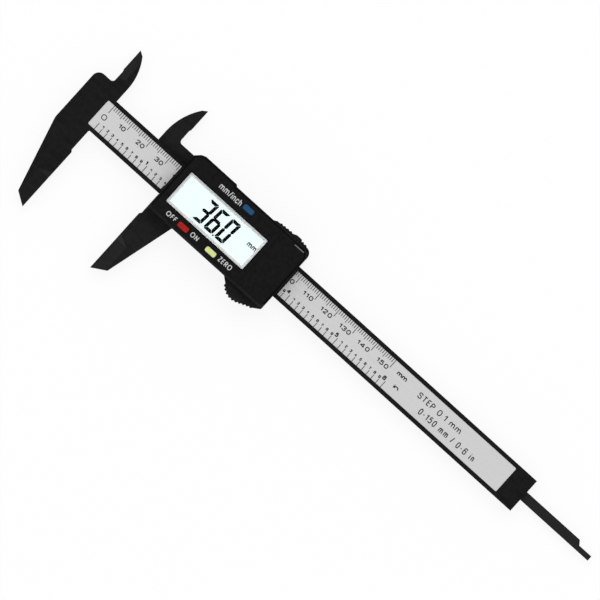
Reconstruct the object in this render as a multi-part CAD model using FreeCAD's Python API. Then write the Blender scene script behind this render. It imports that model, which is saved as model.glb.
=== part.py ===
"""Digital caliper with a 150 mm range, moulded in black fibre-filled plastic.

All sizes are in millimetres.  x = 0 is the plane in which the outside jaws close, y = 0 is the
centre line of the beam and z = 0 is the surface that the caliper lies on, display upwards.
The pieces of the slider are drawn with the jaws closed and then moved along the beam by OPENING.
"""
import FreeCAD, Part
import math
import os

V = FreeCAD.Vector

# ---------------------------------------------------------------- travel
OPENING = 36.0            # gap between the outside jaws as modelled
MAX_OPENING = 154.0       # gap at which the slider meets the end stop
STOP_GAP = 0.6            # room left between slider and end stop at MAX_OPENING

# ---------------------------------------------------------------- clearances
RUN = 0.15                # sliding faces
FIT = 0.1                 # loose fits between fixed pieces
PLAY = 0.05               # close sliding contacts and face gaps

TINY = 1e-6               # below this a length counts as nothing

# ---------------------------------------------------------------- beam
BEAM_WIDTH = 15.75
BEAM_THICK = 4.0
LAP_GAP = 0.16            # gap between the half-thick inside jaws where they pass each other
LABEL_WIDTH = 12.3
LABEL_START = -2.9
LABEL_END_MARGIN = 9.3    # plain beam beyond the label
LABEL_THICK = 0.15
STATOR_THICK = 0.3
LABEL_SINK = 0.15         # label surface below the beam's rims
LABEL_CORNER = 0.6
ROD_GROOVE_START = 2.0

# ---------------------------------------------------------------- outside jaws
JAW_DEPTH = 40.0          # from the beam's edge to the tip
JAW_RELIEF = 0.65         # measuring face stands proud of the root by this
JAW_FACE_START = 10.2     # from the beam's edge to the measuring face
JAW_STEP = 0.9            # length of the ramp on to the measuring face
JAW_TIP_RISE = 3.6        # slanted end of each jaw
FIXED_TIP_WIDTH = 5.5
MOVING_TIP_WIDTH = 6.0
HEAD_WIDTH = 14.15        # fixed head, from the measuring face to the outer edge
HEAD_SHOULDER = 5.0       # straight outer edge of the head below the beam
MOVING_JAW_WIDTH = 14.05  # at the case
JAW_SHOULDER_ROUND = 5.0
JAW_TIP_ROUND = 0.5
JAW_EDGE_THICK = 1.5      # bevelled measuring edge near the tip
JAW_BEVEL_WIDTH = 5.4
JAW_BEVEL_START = 22.0    # from the beam's edge
JAW_BEVEL_RAMP = 2.6
JAW_ROOT_ROUND = 0.55

# ---------------------------------------------------------------- inside jaws
INSIDE_EDGE = -6.65       # x of both inside measuring edges with the jaws closed
BLADE_HEIGHT = 21.4       # from the beam's edge to the tip
BLADE_TIP_DROP = 1.3
FIXED_BLADE_WIDTH = 6.5
FIXED_BLADE_STRAIGHT = 6.7   # straight part of the outer side, from the beam's edge
FIXED_BLADE_RADIUS = 22.9    # curved part of the outer side
MOVING_BLADE_WIDTH = 7.25
MOVING_BLADE_STRAIGHT = 4.2
MOVING_BLADE_RADIUS = 26.5
BLADE_RELIEF = 0.35
BLADE_FACE_START = 10.6   # from the beam's edge
BLADE_STEP = 0.8
BLADE_EDGE_THICK = 0.7
BLADE_BEVEL_WIDTH = 3.6
BLADE_BEVEL_START = 7.4   # from the beam's edge
BLADE_BEVEL_RAMP = 1.2
HEAD_RISE = 4.7           # head and slider arm above the beam's edge
HEAD_CORNER = 3.2
ARM_ROUND = 1.4
ARM_LEDGE = 1.2           # lip of the slider arm behind the beam's edge
ARM_LEDGE_THICK = 0.8

# ---------------------------------------------------------------- slider
CASE_LEFT = 1.0
CASE_RIGHT = 61.3
CASE_HALF = 14.7          # half the width of the case
CASE_TOP = 14.3
WALL = 1.3
CASE_CORNER = 4.3
CASE_LOWER_CORNER = 1.8   # beside the thumb rest
CASE_EDGE_ROUND = 1.3
CORNER_CUT = 2.05         # slanted corner over the slider arm
COLLAR = 0.75             # lips over the beam at both ends of the case
COLLAR_HALF = 7.4
BACK_PLATE = 1.8
BACK_INSET = 0.3
BACK_CHAMFER = 0.5
FRAME_LIFT = 0.72         # pad on the upper edge, over the gib
PAD_START = 3.1
PAD_RAMP = 1.8
PAD_END = 21.9
DISPLAY_END = 47.4        # seam between display cover and battery cover

# ---------------------------------------------------------------- knurled grips
TOOTH_PITCH = 1.6
TOOTH_HEIGHT = 0.6
GRIP_START = 41.5
GRIP_TOP = 9.4            # height of both grips
THUMB_RAMP = 2.5
THUMB_RISE = 4.85         # crest of the thumb rest beyond the case
THUMB_CREST = 49.6
THUMB_STEEP_SIDE = 0.87   # share of the rise reached halfway up the left side
THUMB_GENTLE_SIDE = 0.73  # the same on the right side
THUMB_SHOULDER = 2.0      # thumb rest beyond the case at both ends of its teeth
THUMB_END = 58.4
THUMB_FOOT = 0.15         # thumb rest beyond the case at the case's end
THUMB_CORNER = 1.0
PUSH_RAMP = 1.35
PUSH_RISE = 0.75          # upper grip beyond the case
PUSH_TEETH = 4
PUSH_TOOTH_HEIGHT = 0.5
PUSH_TEETH_START = 44.15
PUSH_CREST = 1.8          # smooth boss beyond the case
PUSH_BOSS_START = 50.5
PUSH_BOSS_END = 55.35
PUSH_BOSS_RAMP = 1.8      # left side of the boss
PUSH_BOSS_DROP = 0.4      # right side of the boss
PUSH_END_TEETH = 2
PUSH_TEETH_SLOPE = 0.3    # rise of both rows of teeth towards the boss
PUSH_CORNER = 2.95

# ---------------------------------------------------------------- screws
SCREW_RADIUS = 0.95
SCREW_HEAD_RADIUS = 1.85
SCREW_HEAD = 1.0
SCREW_HEAD_SINK = 0.12    # head below the back face
SCREW_REACH = 3.4         # thread inside the cover's boss
SCREW_X = (5.9, 44.3)
SCREW_EDGE = 3.0          # screw centre from the side of the case
POST_HALF = 1.9           # half the width of the square posts round the screws
DRIVE_WIDTH = 0.45        # cross recess in the screw heads
DRIVE_LENGTH = 2.2
DRIVE_DEPTH = 0.5

# ---------------------------------------------------------------- depth rod and end stop
ROD_WIDTH = 4.1
ROD_THICK = 1.3
ROD_TIP_WIDTH = 2.25
ROD_TIP_LENGTH = 6.4
ROD_TIP_SLANT = 1.4
ROD_START = 2.5
ROD_SEAT = 0.25           # boss on the back plate that carries the rod
ROD_SCREW_X = 5.4
ROD_SCREW_RADIUS = 0.8
ROD_GROOVE_GAP = 0.2      # over the rod
END_STOP_LENGTH = 8.0
END_STOP_CHAMFER = 0.5
END_SCREW_Y = 5.0
END_SCREW_REACH = 2.0     # thread inside the beam

# ---------------------------------------------------------------- gib
GIB_START = 6.5
GIB_LENGTH = 36.0
GIB_THICK = 0.8
GIB_SPRING_THICK = 0.2
GIB_SPRING_BOW = 0.75
GIB_SPRING_LENGTH = 30.0
GIB_HEIGHT = 2.6

# ---------------------------------------------------------------- display
WINDOW_X = (4.7, 45.3)
WINDOW_LOWER_STRIP = 6.5  # case below the window
WINDOW_UPPER_STRIP = 7.6  # case above the window
WINDOW_BEVEL = 0.5
LENS_THICK = 0.95
BEZEL_THICK = 0.65
BEZEL_LIP = 1.15          # visible rim inside the window
BEZEL_MARGIN = 0.8        # hidden rim under the case
POLARISER_THICK = 0.15
POLARISER_INSET = 0.3
GLASS_THICK = 0.7
GLASS_MARGIN_X = 0.8
GLASS_MARGIN_Y = 0.8
ZEBRA_WIDTH = 1.7
ZEBRA_LEDGE = 2.0         # rear glass is shorter than the front glass by this
HOLDER_WALL = 0.6
HOLDER_UPPER_WALL = 0.9

# ---------------------------------------------------------------- circuit board
BOARD_X = (3.2, 47.2)
BOARD_GAP = 0.2           # board to the inside of the cover
BOARD_THICK = 1.0
CHIP_X = 25.0
CHIP_Y = -2.0
CHIP_SIZE = 8.0
CHIP_HEIGHT = 1.1
CHIP_CORNER = 2.0
CRYSTAL_LENGTH = 6.0
CRYSTAL_RADIUS = 1.0
CRYSTAL_X = 37.5
CRYSTAL_Y = -5.0
CAPACITOR_SIZE = (1.6, 0.8, 0.8)
CAPACITOR_X = (10.0, 13.0, 16.0, 34.0)
CAPACITOR_Y = -4.5
DOME_HALF = 1.5           # half the width of a contact dome
DOME_HEIGHT = 0.3
DOME_CORNER = 0.8         # trimmed corners

# ---------------------------------------------------------------- buttons
BUTTON_LENGTH = 5.0
BUTTON_WIDTH = 2.2
BUTTON_PROUD = 0.45
BUTTON_CORNER = 0.7
BUTTON_BEVEL = 0.25
BUTTON_FLANGE = 0.5       # hidden rim round the cap
BUTTON_FLANGE_THICK = 0.6
BUTTON_STEM = 0.7         # half the width
BUTTON_TRAVEL = 0.35
LOWER_BUTTON_EDGE = 3.35  # button centre from the side of the case
UPPER_BUTTON_EDGE = 3.65
UNIT_BUTTON_X = 31.35
POWER_BUTTON_X = 16.8
ZERO_BUTTON_X = 31.4

# ---------------------------------------------------------------- battery
CELL_RADIUS = 5.8
CELL_THICK = 5.4
CELL_X = 53.6
CELL_RIM = 0.5            # insulating ring seen at the negative end
WELL_GAP = 0.15
CONTACT_THICK = 0.25
CONTACT_SPAN = 35.0       # half angle of the side contact, degrees
CONTACT_ROOM = 3.0        # its slot's extra half angle, degrees
CONTACT_TAIL = 3.9        # width of the lower contact's tail
TRAY_SIDE_GAP = 0.15      # tray to battery cover
RAIL_DEPTH = 0.7
RAIL_HEIGHT = 0.8
RAIL_Z = 9.4
SEAM = 0.1
NICK_LENGTH = 5.1
NICK_WIDTH = 0.5
NICK_DEPTH = 0.35
NICK_X = 54.0
NICK_EDGE = 1.6           # nick's centre from the side of the case

# ---------------------------------------------------------------- derived places
HALF_BEAM = BEAM_WIDTH / 2
BUTTONS = {
    "unit_button": (UNIT_BUTTON_X, CASE_HALF - UPPER_BUTTON_EDGE),
    "power_button": (POWER_BUTTON_X, LOWER_BUTTON_EDGE - CASE_HALF),
    "zero_button": (ZERO_BUTTON_X, LOWER_BUTTON_EDGE - CASE_HALF),
}
SCREW_Y = CASE_HALF - SCREW_EDGE
WINDOW_Y = (WINDOW_LOWER_STRIP - CASE_HALF, CASE_HALF - WINDOW_UPPER_STRIP)
BOARD_HALF = CASE_HALF - WALL - BOARD_GAP
BEAM_BACK = BACK_PLATE + RUN
BEAM_FRONT = BEAM_BACK + BEAM_THICK
LAP_Z = BEAM_BACK + BEAM_THICK / 2
BEAM_END = MAX_OPENING + CASE_RIGHT + STOP_GAP + END_STOP_LENGTH
LABEL_END = BEAM_END - LABEL_END_MARGIN
POCKET_FLOOR = BEAM_FRONT - LABEL_SINK - LABEL_THICK - STATOR_THICK
CHANNEL_HALF = HALF_BEAM + RUN
BOARD_Z = BEAM_FRONT + RUN
BOARD_TOP = BOARD_Z + BOARD_THICK
CASE_UNDER = CASE_TOP - WALL
ARM_TOP = HALF_BEAM + HEAD_RISE
JAW_TIP_Y = -HALF_BEAM - JAW_DEPTH
BEZEL_Z = CASE_UNDER - BEZEL_THICK
POLARISER_Z = BEZEL_Z - POLARISER_THICK
FRONT_GLASS_Z = POLARISER_Z - GLASS_THICK
REAR_GLASS_Z = FRONT_GLASS_Z - GLASS_THICK
REFLECTOR_Z = REAR_GLASS_Z - POLARISER_THICK
GLASS_X = (WINDOW_X[0] - GLASS_MARGIN_X, WINDOW_X[1] + GLASS_MARGIN_X)
GLASS_Y = (WINDOW_Y[0] - GLASS_MARGIN_Y, WINDOW_Y[1] + GLASS_MARGIN_Y)
HOLDER_X = (GLASS_X[0] - FIT - HOLDER_WALL / 2, GLASS_X[1] + FIT + HOLDER_WALL / 2)
CAVITY_END = HOLDER_X[1] + FIT
ROD_Z = BACK_PLATE + ROD_SEAT
ROD_TOP = ROD_Z + ROD_THICK
ROD_END = BEAM_END
CELL_Z = BOARD_TOP + CONTACT_THICK
WELL_RADIUS = CELL_RADIUS + WELL_GAP
TRAY_END = CASE_RIGHT - WALL - SEAM
TRAY_HALF = CASE_HALF - WALL - TRAY_SIDE_GAP
TRAY_TOP = CASE_UNDER - 2 * FIT


# ---------------------------------------------------------------- drawing helpers
def box(x, y, z):
    """A block between the pairs of limits x, y and z."""
    return Part.makeBox(x[1] - x[0], y[1] - y[0], z[1] - z[0], V(x[0], y[0], z[0]))


def cylinder(x, y, radius, z):
    """An upright cylinder between the pair of heights z."""
    return Part.makeCylinder(radius, z[1] - z[0], V(x, y, z[0]))


def trimmed_corner(before, corner, after, radius):
    """The two ends and the middle of the arc that rounds a corner."""
    back, ahead = (before - corner).normalize(), (after - corner).normalize()
    half = back.getAngle(ahead) / 2
    reach = radius / math.tan(half)
    centre = corner + (back + ahead).normalize() * (radius / math.sin(half))
    middle = centre + (corner - centre).normalize() * radius
    return corner + back * reach, middle, corner + ahead * reach


def outline(points):
    """A closed flat face from corners (x, y) or (x, y, rounding radius)."""
    corners = [V(p[0], p[1], 0) for p in points]
    stops = []
    for i, p in enumerate(points):
        if len(p) == 3 and p[2] > 0:
            stops.append(trimmed_corner(corners[i - 1], corners[i], corners[(i + 1) % len(points)], p[2]))
        else:
            stops.append((corners[i],))
    edges = []
    for i, stop in enumerate(stops):
        if len(stop) == 3:
            edges.append(Part.Arc(*stop).toShape())
        start, end = stop[-1], stops[(i + 1) % len(stops)][0]
        if (end - start).Length > TINY:
            edges.append(Part.LineSegment(start, end).toShape())
    return Part.Face(Part.Wire(edges))


def prism(points, z):
    """An outline raised between the pair of heights z."""
    return raised(outline(points), z)


def raised(face, z):
    """A flat face raised between the pair of heights z."""
    solid = face.copy()
    solid.translate(V(0, 0, z[0]))
    return solid.extrude(V(0, 0, z[1] - z[0]))


def plate(x, y, z, corner=0.0):
    """A block with rounded upright edges."""
    return prism([(x[0], y[0], corner), (x[1], y[0], corner), (x[1], y[1], corner), (x[0], y[1], corner)], z)


def trimmed_plate(x, y, z, cut):
    """A block with its upright edges cut off at 45 degrees."""
    return prism([(x[0] + cut, y[0]), (x[1] - cut, y[0]), (x[1], y[0] + cut), (x[1], y[1] - cut),
                  (x[1] - cut, y[1]), (x[0] + cut, y[1]), (x[0], y[1] - cut), (x[0], y[0] + cut)], z)


def mirrored(solid, x):
    """The solid mirrored in the plane at x."""
    return solid.mirror(V(x, 0, 0), V(1, 0, 0))


def turned_over(solid):
    """The solid mirrored in the beam's middle plane."""
    return solid.mirror(V(0, 0, LAP_Z), V(0, 0, 1))


def joined(*solids):
    """One solid from touching ones, with no seams left."""
    return solids[0].fuse(list(solids[1:])).removeSplitter()


def moved_with_slider(solid):
    """A slider piece at the modelled jaw opening."""
    shifted = solid.copy()
    shifted.translate(V(OPENING, 0, 0))
    return shifted


def edge_bevel(x, y, z, width, ramp):
    """The wedge cut from a blade's front: deepest at x[0], running from y[0] to y[1] with a ramp."""
    def section(at, share):
        low = z[1] - (z[1] - z[0]) * share
        corners = [V(x[0], at, z[1] + FIT), V(x[0], at, low), V(x[0] + width * share, at, z[1]),
                   V(x[0] + width * share, at, z[1] + FIT)]
        return Part.makePolygon(corners + corners[:1])
    start, end = y
    turn = start + math.copysign(ramp, end - start)
    return Part.makeLoft([section(start, PLAY), section(turn, 1), section(end, 1)], True, True)


# ---------------------------------------------------------------- jaws
def inside_blade(root, z, width, straight, radius):
    """Inside jaw to the right of its measuring edge, from the height root up, in the layer z.

    Its outer side is straight up from the beam's edge and then curves in to the tip.
    """
    edge, side = INSIDE_EDGE, INSIDE_EDGE + width
    tip = HALF_BEAM + BLADE_HEIGHT
    bend = HALF_BEAM + straight
    step = HALF_BEAM + BLADE_FACE_START
    shoulder = tip - BLADE_TIP_DROP

    def on_arc(y):
        return V(side - radius + math.sqrt(radius ** 2 - (y - bend) ** 2), y, 0)
    relief = edge + BLADE_RELIEF
    path = [V(relief, root, 0), V(side, root, 0), V(side, bend, 0)]
    edges = [Part.LineSegment(a, b).toShape() for a, b in zip(path, path[1:])]
    edges.append(Part.Arc(on_arc(bend), on_arc((bend + shoulder) / 2), on_arc(shoulder)).toShape())
    path = [on_arc(shoulder), V(edge, tip, 0), V(edge, step + BLADE_STEP, 0), V(relief, step, 0),
            V(relief, root, 0)]
    edges += [Part.LineSegment(a, b).toShape() for a, b in zip(path, path[1:])]
    blade = raised(Part.Face(Part.Wire(edges)), z)
    start = HALF_BEAM + BLADE_BEVEL_START
    bevel = edge_bevel((edge, side), (start, tip + FIT), (z[0] + BLADE_EDGE_THICK, z[1]),
                       BLADE_BEVEL_WIDTH, BLADE_BEVEL_RAMP)
    return blade.cut(bevel)


def outside_jaw(top, root_width, shoulder, tip_width):
    """Outside jaw to the left of its measuring face, from the height top down."""
    edge = -HALF_BEAM
    step = edge - JAW_FACE_START
    jaw = prism([(-JAW_RELIEF, top), (-root_width, top), (-root_width, shoulder, JAW_SHOULDER_ROUND),
                 (-tip_width, JAW_TIP_Y + JAW_TIP_RISE, JAW_TIP_ROUND), (0, JAW_TIP_Y), (0, step - JAW_STEP),
                 (-JAW_RELIEF, step)], (BEAM_BACK, BEAM_FRONT))
    bevel = edge_bevel((0, -root_width), (edge - JAW_BEVEL_START, JAW_TIP_Y - FIT),
                       (LAP_Z + JAW_EDGE_THICK / 2, BEAM_FRONT), -JAW_BEVEL_WIDTH, JAW_BEVEL_RAMP)
    return jaw.cut([bevel, turned_over(bevel)])


# ---------------------------------------------------------------- fixed pieces
def beam_with_fixed_jaws():
    """Beam, fixed outside jaw and fixed inside jaw, moulded in one piece."""
    bar = box((-HEAD_WIDTH, BEAM_END), (-HALF_BEAM, HALF_BEAM), (BEAM_BACK, BEAM_FRONT))
    jaw = outside_jaw(-HALF_BEAM, HEAD_WIDTH, -HALF_BEAM - HEAD_SHOULDER, FIXED_TIP_WIDTH)
    lap = (LAP_Z + LAP_GAP / 2, BEAM_FRONT)
    relief = INSIDE_EDGE + BLADE_RELIEF
    head = prism([(-HEAD_WIDTH, HALF_BEAM), (relief + ARM_ROUND, HALF_BEAM), (relief + ARM_ROUND, ARM_TOP),
                  (-HEAD_WIDTH, ARM_TOP, HEAD_CORNER)], lap)
    blade = inside_blade(HALF_BEAM, lap, FIXED_BLADE_WIDTH, FIXED_BLADE_STRAIGHT, FIXED_BLADE_RADIUS)
    web = inner_round(relief, ARM_TOP, lap, ARM_ROUND, left=True)
    root = inner_round(-JAW_RELIEF, -HALF_BEAM, (BEAM_BACK, BEAM_FRONT), JAW_ROOT_ROUND, left=False)
    pocket = plate((LABEL_START, LABEL_END), (-LABEL_WIDTH / 2, LABEL_WIDTH / 2),
                   (POCKET_FLOOR, BEAM_FRONT + FIT), LABEL_CORNER)
    groove = box((ROD_GROOVE_START, BEAM_END + FIT), (-ROD_WIDTH / 2 - RUN, ROD_WIDTH / 2 + RUN),
                 (BEAM_BACK - FIT, ROD_TOP + ROD_GROOVE_GAP))
    beam = joined(bar, jaw, head, blade, web, root).cut([pocket, groove])
    thread = (BEAM_BACK - FIT, BEAM_BACK + END_SCREW_REACH + FIT)
    return beam.cut([pilot_hole(x, y, thread) for x, y in end_screw_places()])


def inner_round(x, y, z, radius, left):
    """Material that rounds an inner corner: above y and left of x, or below y and right of x."""
    side = -1 if left else 1
    up = 1 if left else -1
    block = box(sorted((x, x + side * radius)), sorted((y, y + up * radius)), z)
    return block.cut(cylinder(x + side * radius, y + up * radius, radius, (z[0] - FIT, z[1] + FIT)))


def stator_strip():
    """Patterned copper-clad strip under the label that the sensor reads."""
    return trimmed_plate((LABEL_START + FIT, LABEL_END - FIT),
                         (-LABEL_WIDTH / 2 + FIT, LABEL_WIDTH / 2 - FIT),
                         (POCKET_FLOOR, POCKET_FLOOR + STATOR_THICK), LABEL_CORNER)


def scale_label():
    """Silver label with the graduations."""
    low = POCKET_FLOOR + STATOR_THICK
    return plate((LABEL_START + PLAY, LABEL_END - PLAY), (-LABEL_WIDTH / 2 + PLAY, LABEL_WIDTH / 2 - PLAY),
                 (low, low + LABEL_THICK), LABEL_CORNER - PLAY)


def end_screw_places():
    """Centres of the two screws of the end stop."""
    return [(BEAM_END - END_STOP_LENGTH / 2, side * END_SCREW_Y) for side in (-1, 1)]


def end_stop():
    """Plate under the beam's end that stops the slider and keeps the depth rod in its groove."""
    stop = box((BEAM_END - END_STOP_LENGTH, BEAM_END), (-HALF_BEAM, HALF_BEAM), (0, BEAM_BACK))
    lower = [e for e in stop.Edges if e.BoundBox.ZMax < PLAY]
    stop = stop.makeChamfer(END_STOP_CHAMFER, lower)
    return stop.cut([screw_seat(x, y, BEAM_BACK) for x, y in end_screw_places()])


def pilot_hole(x, y, z):
    """Hole that a screw's thread holds in."""
    return cylinder(x, y, SCREW_RADIUS + PLAY / 2, z)


def clearance_holes(top):
    """Through holes for the case screws, up to the height top."""
    return [cylinder(x, y, SCREW_RADIUS + FIT, (0, top)) for x, y in screw_places()]


def screw_seat(x, y, top):
    """Room for a screw's head and shank in a plate of which the back is at z = 0."""
    head = cylinder(x, y, SCREW_HEAD_RADIUS + FIT, (-FIT, SCREW_HEAD_SINK + SCREW_HEAD))
    return head.fuse(pilot_hole(x, y, (-FIT, top + FIT)))


def screw(x, y, top, radius=SCREW_RADIUS):
    """Cross-head screw driven in from the back, its thread ending at the height top."""
    low, under = SCREW_HEAD_SINK, SCREW_HEAD_SINK + SCREW_HEAD
    body = cylinder(x, y, SCREW_HEAD_RADIUS, (low, under)).fuse(cylinder(x, y, radius, (under, top)))
    for length, width in ((DRIVE_LENGTH, DRIVE_WIDTH), (DRIVE_WIDTH, DRIVE_LENGTH)):
        body = body.cut(box((x - length / 2, x + length / 2), (y - width / 2, y + width / 2),
                            (low - FIT, low + DRIVE_DEPTH)))
    return body.removeSplitter()


def end_stop_screws():
    """The two screws that hold the end stop."""
    return Part.makeCompound([screw(x, y, BEAM_BACK + END_SCREW_REACH) for x, y in end_screw_places()])


# ---------------------------------------------------------------- slider frame
def knurl(curve, teeth, height):
    """Corner points of equal teeth that stand on the outer side of a curve, to the left of its run."""
    length = curve.length()
    points = []
    for i in range(teeth + 1):
        points.append(curve.value(curve.parameterAtDistance(length * i / teeth, curve.FirstParameter)))
        if i < teeth:
            at = curve.parameterAtDistance(length * (i + 0.5) / teeth, curve.FirstParameter)
            along = curve.tangent(at)[0]
            points.append(curve.value(at) + V(along.y, -along.x, 0) * height)
    return [(p.x, p.y) for p in points]


def thumb_rest():
    """Corner points of the lower grip, from left to right."""
    low = -CASE_HALF
    start = GRIP_START + THUMB_RAMP
    rise, shoulder = THUMB_RISE, THUMB_SHOULDER
    curve = Part.BSplineCurve()
    curve.interpolate([V(start, low - shoulder, 0),
                       V((start + THUMB_CREST) / 2, low - THUMB_STEEP_SIDE * rise, 0),
                       V(THUMB_CREST, low - rise, 0),
                       V((THUMB_CREST + THUMB_END) / 2, low - THUMB_GENTLE_SIDE * rise, 0),
                       V(THUMB_END, low - shoulder, 0)])
    teeth = round(curve.length() / TOOTH_PITCH)
    return [(GRIP_START, low)] + knurl(curve, teeth, TOOTH_HEIGHT)


def push_grip():
    """Corner points of the upper grip, from right to left."""
    base = CASE_HALF + PUSH_RISE
    upper = base + PUSH_TEETH_SLOPE
    crest = CASE_HALF + PUSH_CREST
    end = CASE_RIGHT - PUSH_CORNER - PLAY
    right = straight(V(end, base, 0), V(PUSH_BOSS_END, upper, 0))
    left = straight(V(PUSH_BOSS_START, upper, 0), V(PUSH_TEETH_START, base, 0))
    boss = [(PUSH_BOSS_END - PUSH_BOSS_DROP, crest, PUSH_BOSS_DROP),
            (PUSH_BOSS_START + PUSH_BOSS_RAMP, crest, PUSH_BOSS_RAMP)]
    return (knurl(right, PUSH_END_TEETH, PUSH_TOOTH_HEIGHT) + boss
            + knurl(left, PUSH_TEETH, PUSH_TOOTH_HEIGHT)
            + [(GRIP_START + PUSH_RAMP, base), (GRIP_START, CASE_HALF)])


def straight(start, end):
    """A straight stretch as a curve that can be stepped along."""
    curve = Part.BSplineCurve()
    curve.interpolate([start, end])
    return curve


def upper_left_corner():
    """Corner points of the case over the slider arm, from right to left."""
    lift = FRAME_LIFT
    return [(PAD_END, CASE_HALF), (PAD_END - lift, CASE_HALF + lift),
            (PAD_START + PAD_RAMP, CASE_HALF + lift), (PAD_START, CASE_HALF),
            (CASE_LEFT, CASE_HALF - CORNER_CUT)]


def frame_outline():
    """Plan of the slider frame with both grips."""
    return ([(CASE_LEFT, -CASE_HALF)] + thumb_rest()
            + [(CASE_RIGHT, -CASE_HALF - THUMB_FOOT, THUMB_CORNER)]
            + [(CASE_RIGHT, CASE_HALF + PUSH_RISE, PUSH_CORNER)]
            + push_grip() + upper_left_corner())


def cover_outline(x, lower_corner=0.0, upper_corner=0.0):
    """Plan of a cover between the pair of limits x, without the grips."""
    start, end = x
    upper = upper_left_corner() if start < PAD_END else [(start, CASE_HALF)]
    return [(start, -CASE_HALF), (end, -CASE_HALF, lower_corner), (end, CASE_HALF, upper_corner)] + upper


def is_upright(edge, x, y):
    """Whether an edge is a straight upright line at y, between the pair of limits x."""
    span = edge.BoundBox
    upright = max(span.XLength, span.YLength) < TINY
    return upright and x[0] < span.XMin < x[1] and abs(span.YMin - y) < PLAY


def screw_places():
    """Centres of the four case screws."""
    return [(x, side * SCREW_Y) for x in SCREW_X for side in (-1, 1)]


def screw_posts(z, grow=0.0):
    """Square posts round the case screws that reach the sides of the case."""
    half = POST_HALF + grow
    reach = [(-CASE_HALF, half - SCREW_Y), (SCREW_Y - half, CASE_HALF)]
    return [box((x - half, x + half), side, z) for x in SCREW_X for side in reach]


def slider_frame():
    """Moving jaws, channel for the beam and seat for the circuit board, moulded in one piece."""
    body = prism(frame_outline(), (BACK_PLATE, GRIP_TOP))
    over_grips = box((CASE_LEFT - FIT, CASE_RIGHT + FIT), (-CASE_HALF - FIT, CASE_HALF + FIT),
                     (BOARD_TOP, GRIP_TOP + FIT))
    over_pad = box((CASE_LEFT - FIT, GRIP_START - FIT), (0, CASE_HALF + 2 * FRAME_LIFT),
                   (BOARD_TOP, GRIP_TOP + FIT))
    channel = box((CASE_LEFT - 2 * COLLAR, CASE_RIGHT + 2 * COLLAR), (-CHANNEL_HALF, CHANNEL_HALF),
                  (BACK_PLATE - FIT, BOARD_Z))
    window = box((BOARD_X[0] - FIT, BOARD_X[1] + FIT), (-BOARD_HALF - FIT, BOARD_HALF + FIT),
                 (BOARD_Z, BOARD_TOP + FIT)).cut(screw_posts((BOARD_Z - FIT, BOARD_TOP + 2 * FIT)))
    gib = box((GIB_START - FIT, GIB_START + GIB_LENGTH + FIT), (0, gib_back()), gib_layer(FIT))
    lap = (BEAM_BACK, LAP_Z - LAP_GAP / 2)
    relief = INSIDE_EDGE - BLADE_RELIEF
    arm_left = INSIDE_EDGE - MOVING_BLADE_WIDTH
    arm = box((arm_left, CASE_LEFT + WALL), (CHANNEL_HALF, ARM_TOP), lap)
    ledge_back = BACK_PLATE - ARM_LEDGE_THICK
    arm = arm.fuse([box((arm_left, CASE_LEFT), (CHANNEL_HALF, ARM_TOP), (ledge_back, BEAM_BACK)),
                    box((arm_left, CASE_LEFT), (HALF_BEAM - ARM_LEDGE, ARM_TOP), (ledge_back, BACK_PLATE))])
    blade = inside_blade(CHANNEL_HALF, (LAP_Z + LAP_GAP / 2, BEAM_FRONT), MOVING_BLADE_WIDTH,
                         MOVING_BLADE_STRAIGHT, MOVING_BLADE_RADIUS)
    blade = turned_over(mirrored(blade, INSIDE_EDGE))
    web = mirrored(inner_round(-relief, ARM_TOP, lap, ARM_ROUND, left=True), 0)
    collars = [prism([(x - side * PLAY, -COLLAR_HALF), (x - side * PLAY, COLLAR_HALF),
                      (x + side * COLLAR, COLLAR_HALF - COLLAR), (x + side * COLLAR, COLLAR - COLLAR_HALF)],
                     (BOARD_Z, BOARD_TOP)) for x, side in ((CASE_LEFT, -1), (CASE_RIGHT, 1))]
    jaw = mirrored(outside_jaw(-CHANNEL_HALF, MOVING_JAW_WIDTH, -CASE_HALF + WALL, MOVING_TIP_WIDTH), 0)
    body = body.cut([over_grips, over_pad])
    body = joined(body, arm, blade, web, jaw, *collars).cut([channel, window, gib])
    under_case = (CASE_LEFT + JAW_ROOT_ROUND, GRIP_START - PLAY)
    root = [e for e in body.Edges if is_upright(e, under_case, -CASE_HALF)]
    body = body.makeFillet(JAW_ROOT_ROUND, root)
    return body.cut(clearance_holes(BOARD_TOP + FIT))


def back_plate():
    """Plate that closes the channel behind the beam and carries the depth rod."""
    x = (CASE_LEFT + BACK_INSET, CASE_RIGHT - BACK_INSET)
    y = (-CASE_HALF + BACK_INSET, CASE_HALF - BACK_INSET - CORNER_CUT / 2)
    slab = plate(x, y, (0, BACK_PLATE), CORNER_CUT / 2)
    slab = slab.makeChamfer(BACK_CHAMFER, [e for e in slab.Edges if e.BoundBox.ZMax < PLAY])
    seat = cylinder(ROD_SCREW_X, 0, ROD_WIDTH / 2, (BACK_PLATE, ROD_Z))
    slab = slab.fuse(seat)
    rod_seat = screw_seat(ROD_SCREW_X, 0, ROD_Z)
    return slab.cut([screw_seat(x, y, BACK_PLATE) for x, y in screw_places()] + [rod_seat]).removeSplitter()


def case_screws():
    """The four screws that clamp back plate, slider frame and display cover."""
    return Part.makeCompound([screw(x, y, BOARD_TOP + SCREW_REACH) for x, y in screw_places()])


def depth_rod():
    """Flat steel rod in the beam's groove, with its stepped tip."""
    half = ROD_WIDTH / 2
    neck = ROD_END - ROD_TIP_LENGTH
    rod = prism([(ROD_START, -half), (ROD_END, -half), (ROD_END, ROD_TIP_WIDTH - half),
                 (neck, ROD_TIP_WIDTH - half), (neck - ROD_TIP_SLANT, half), (ROD_START, half)],
                (ROD_Z, ROD_TOP))
    return rod.cut(cylinder(ROD_SCREW_X, 0, ROD_SCREW_RADIUS + PLAY / 2, (0, ROD_TOP + FIT)))


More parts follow.
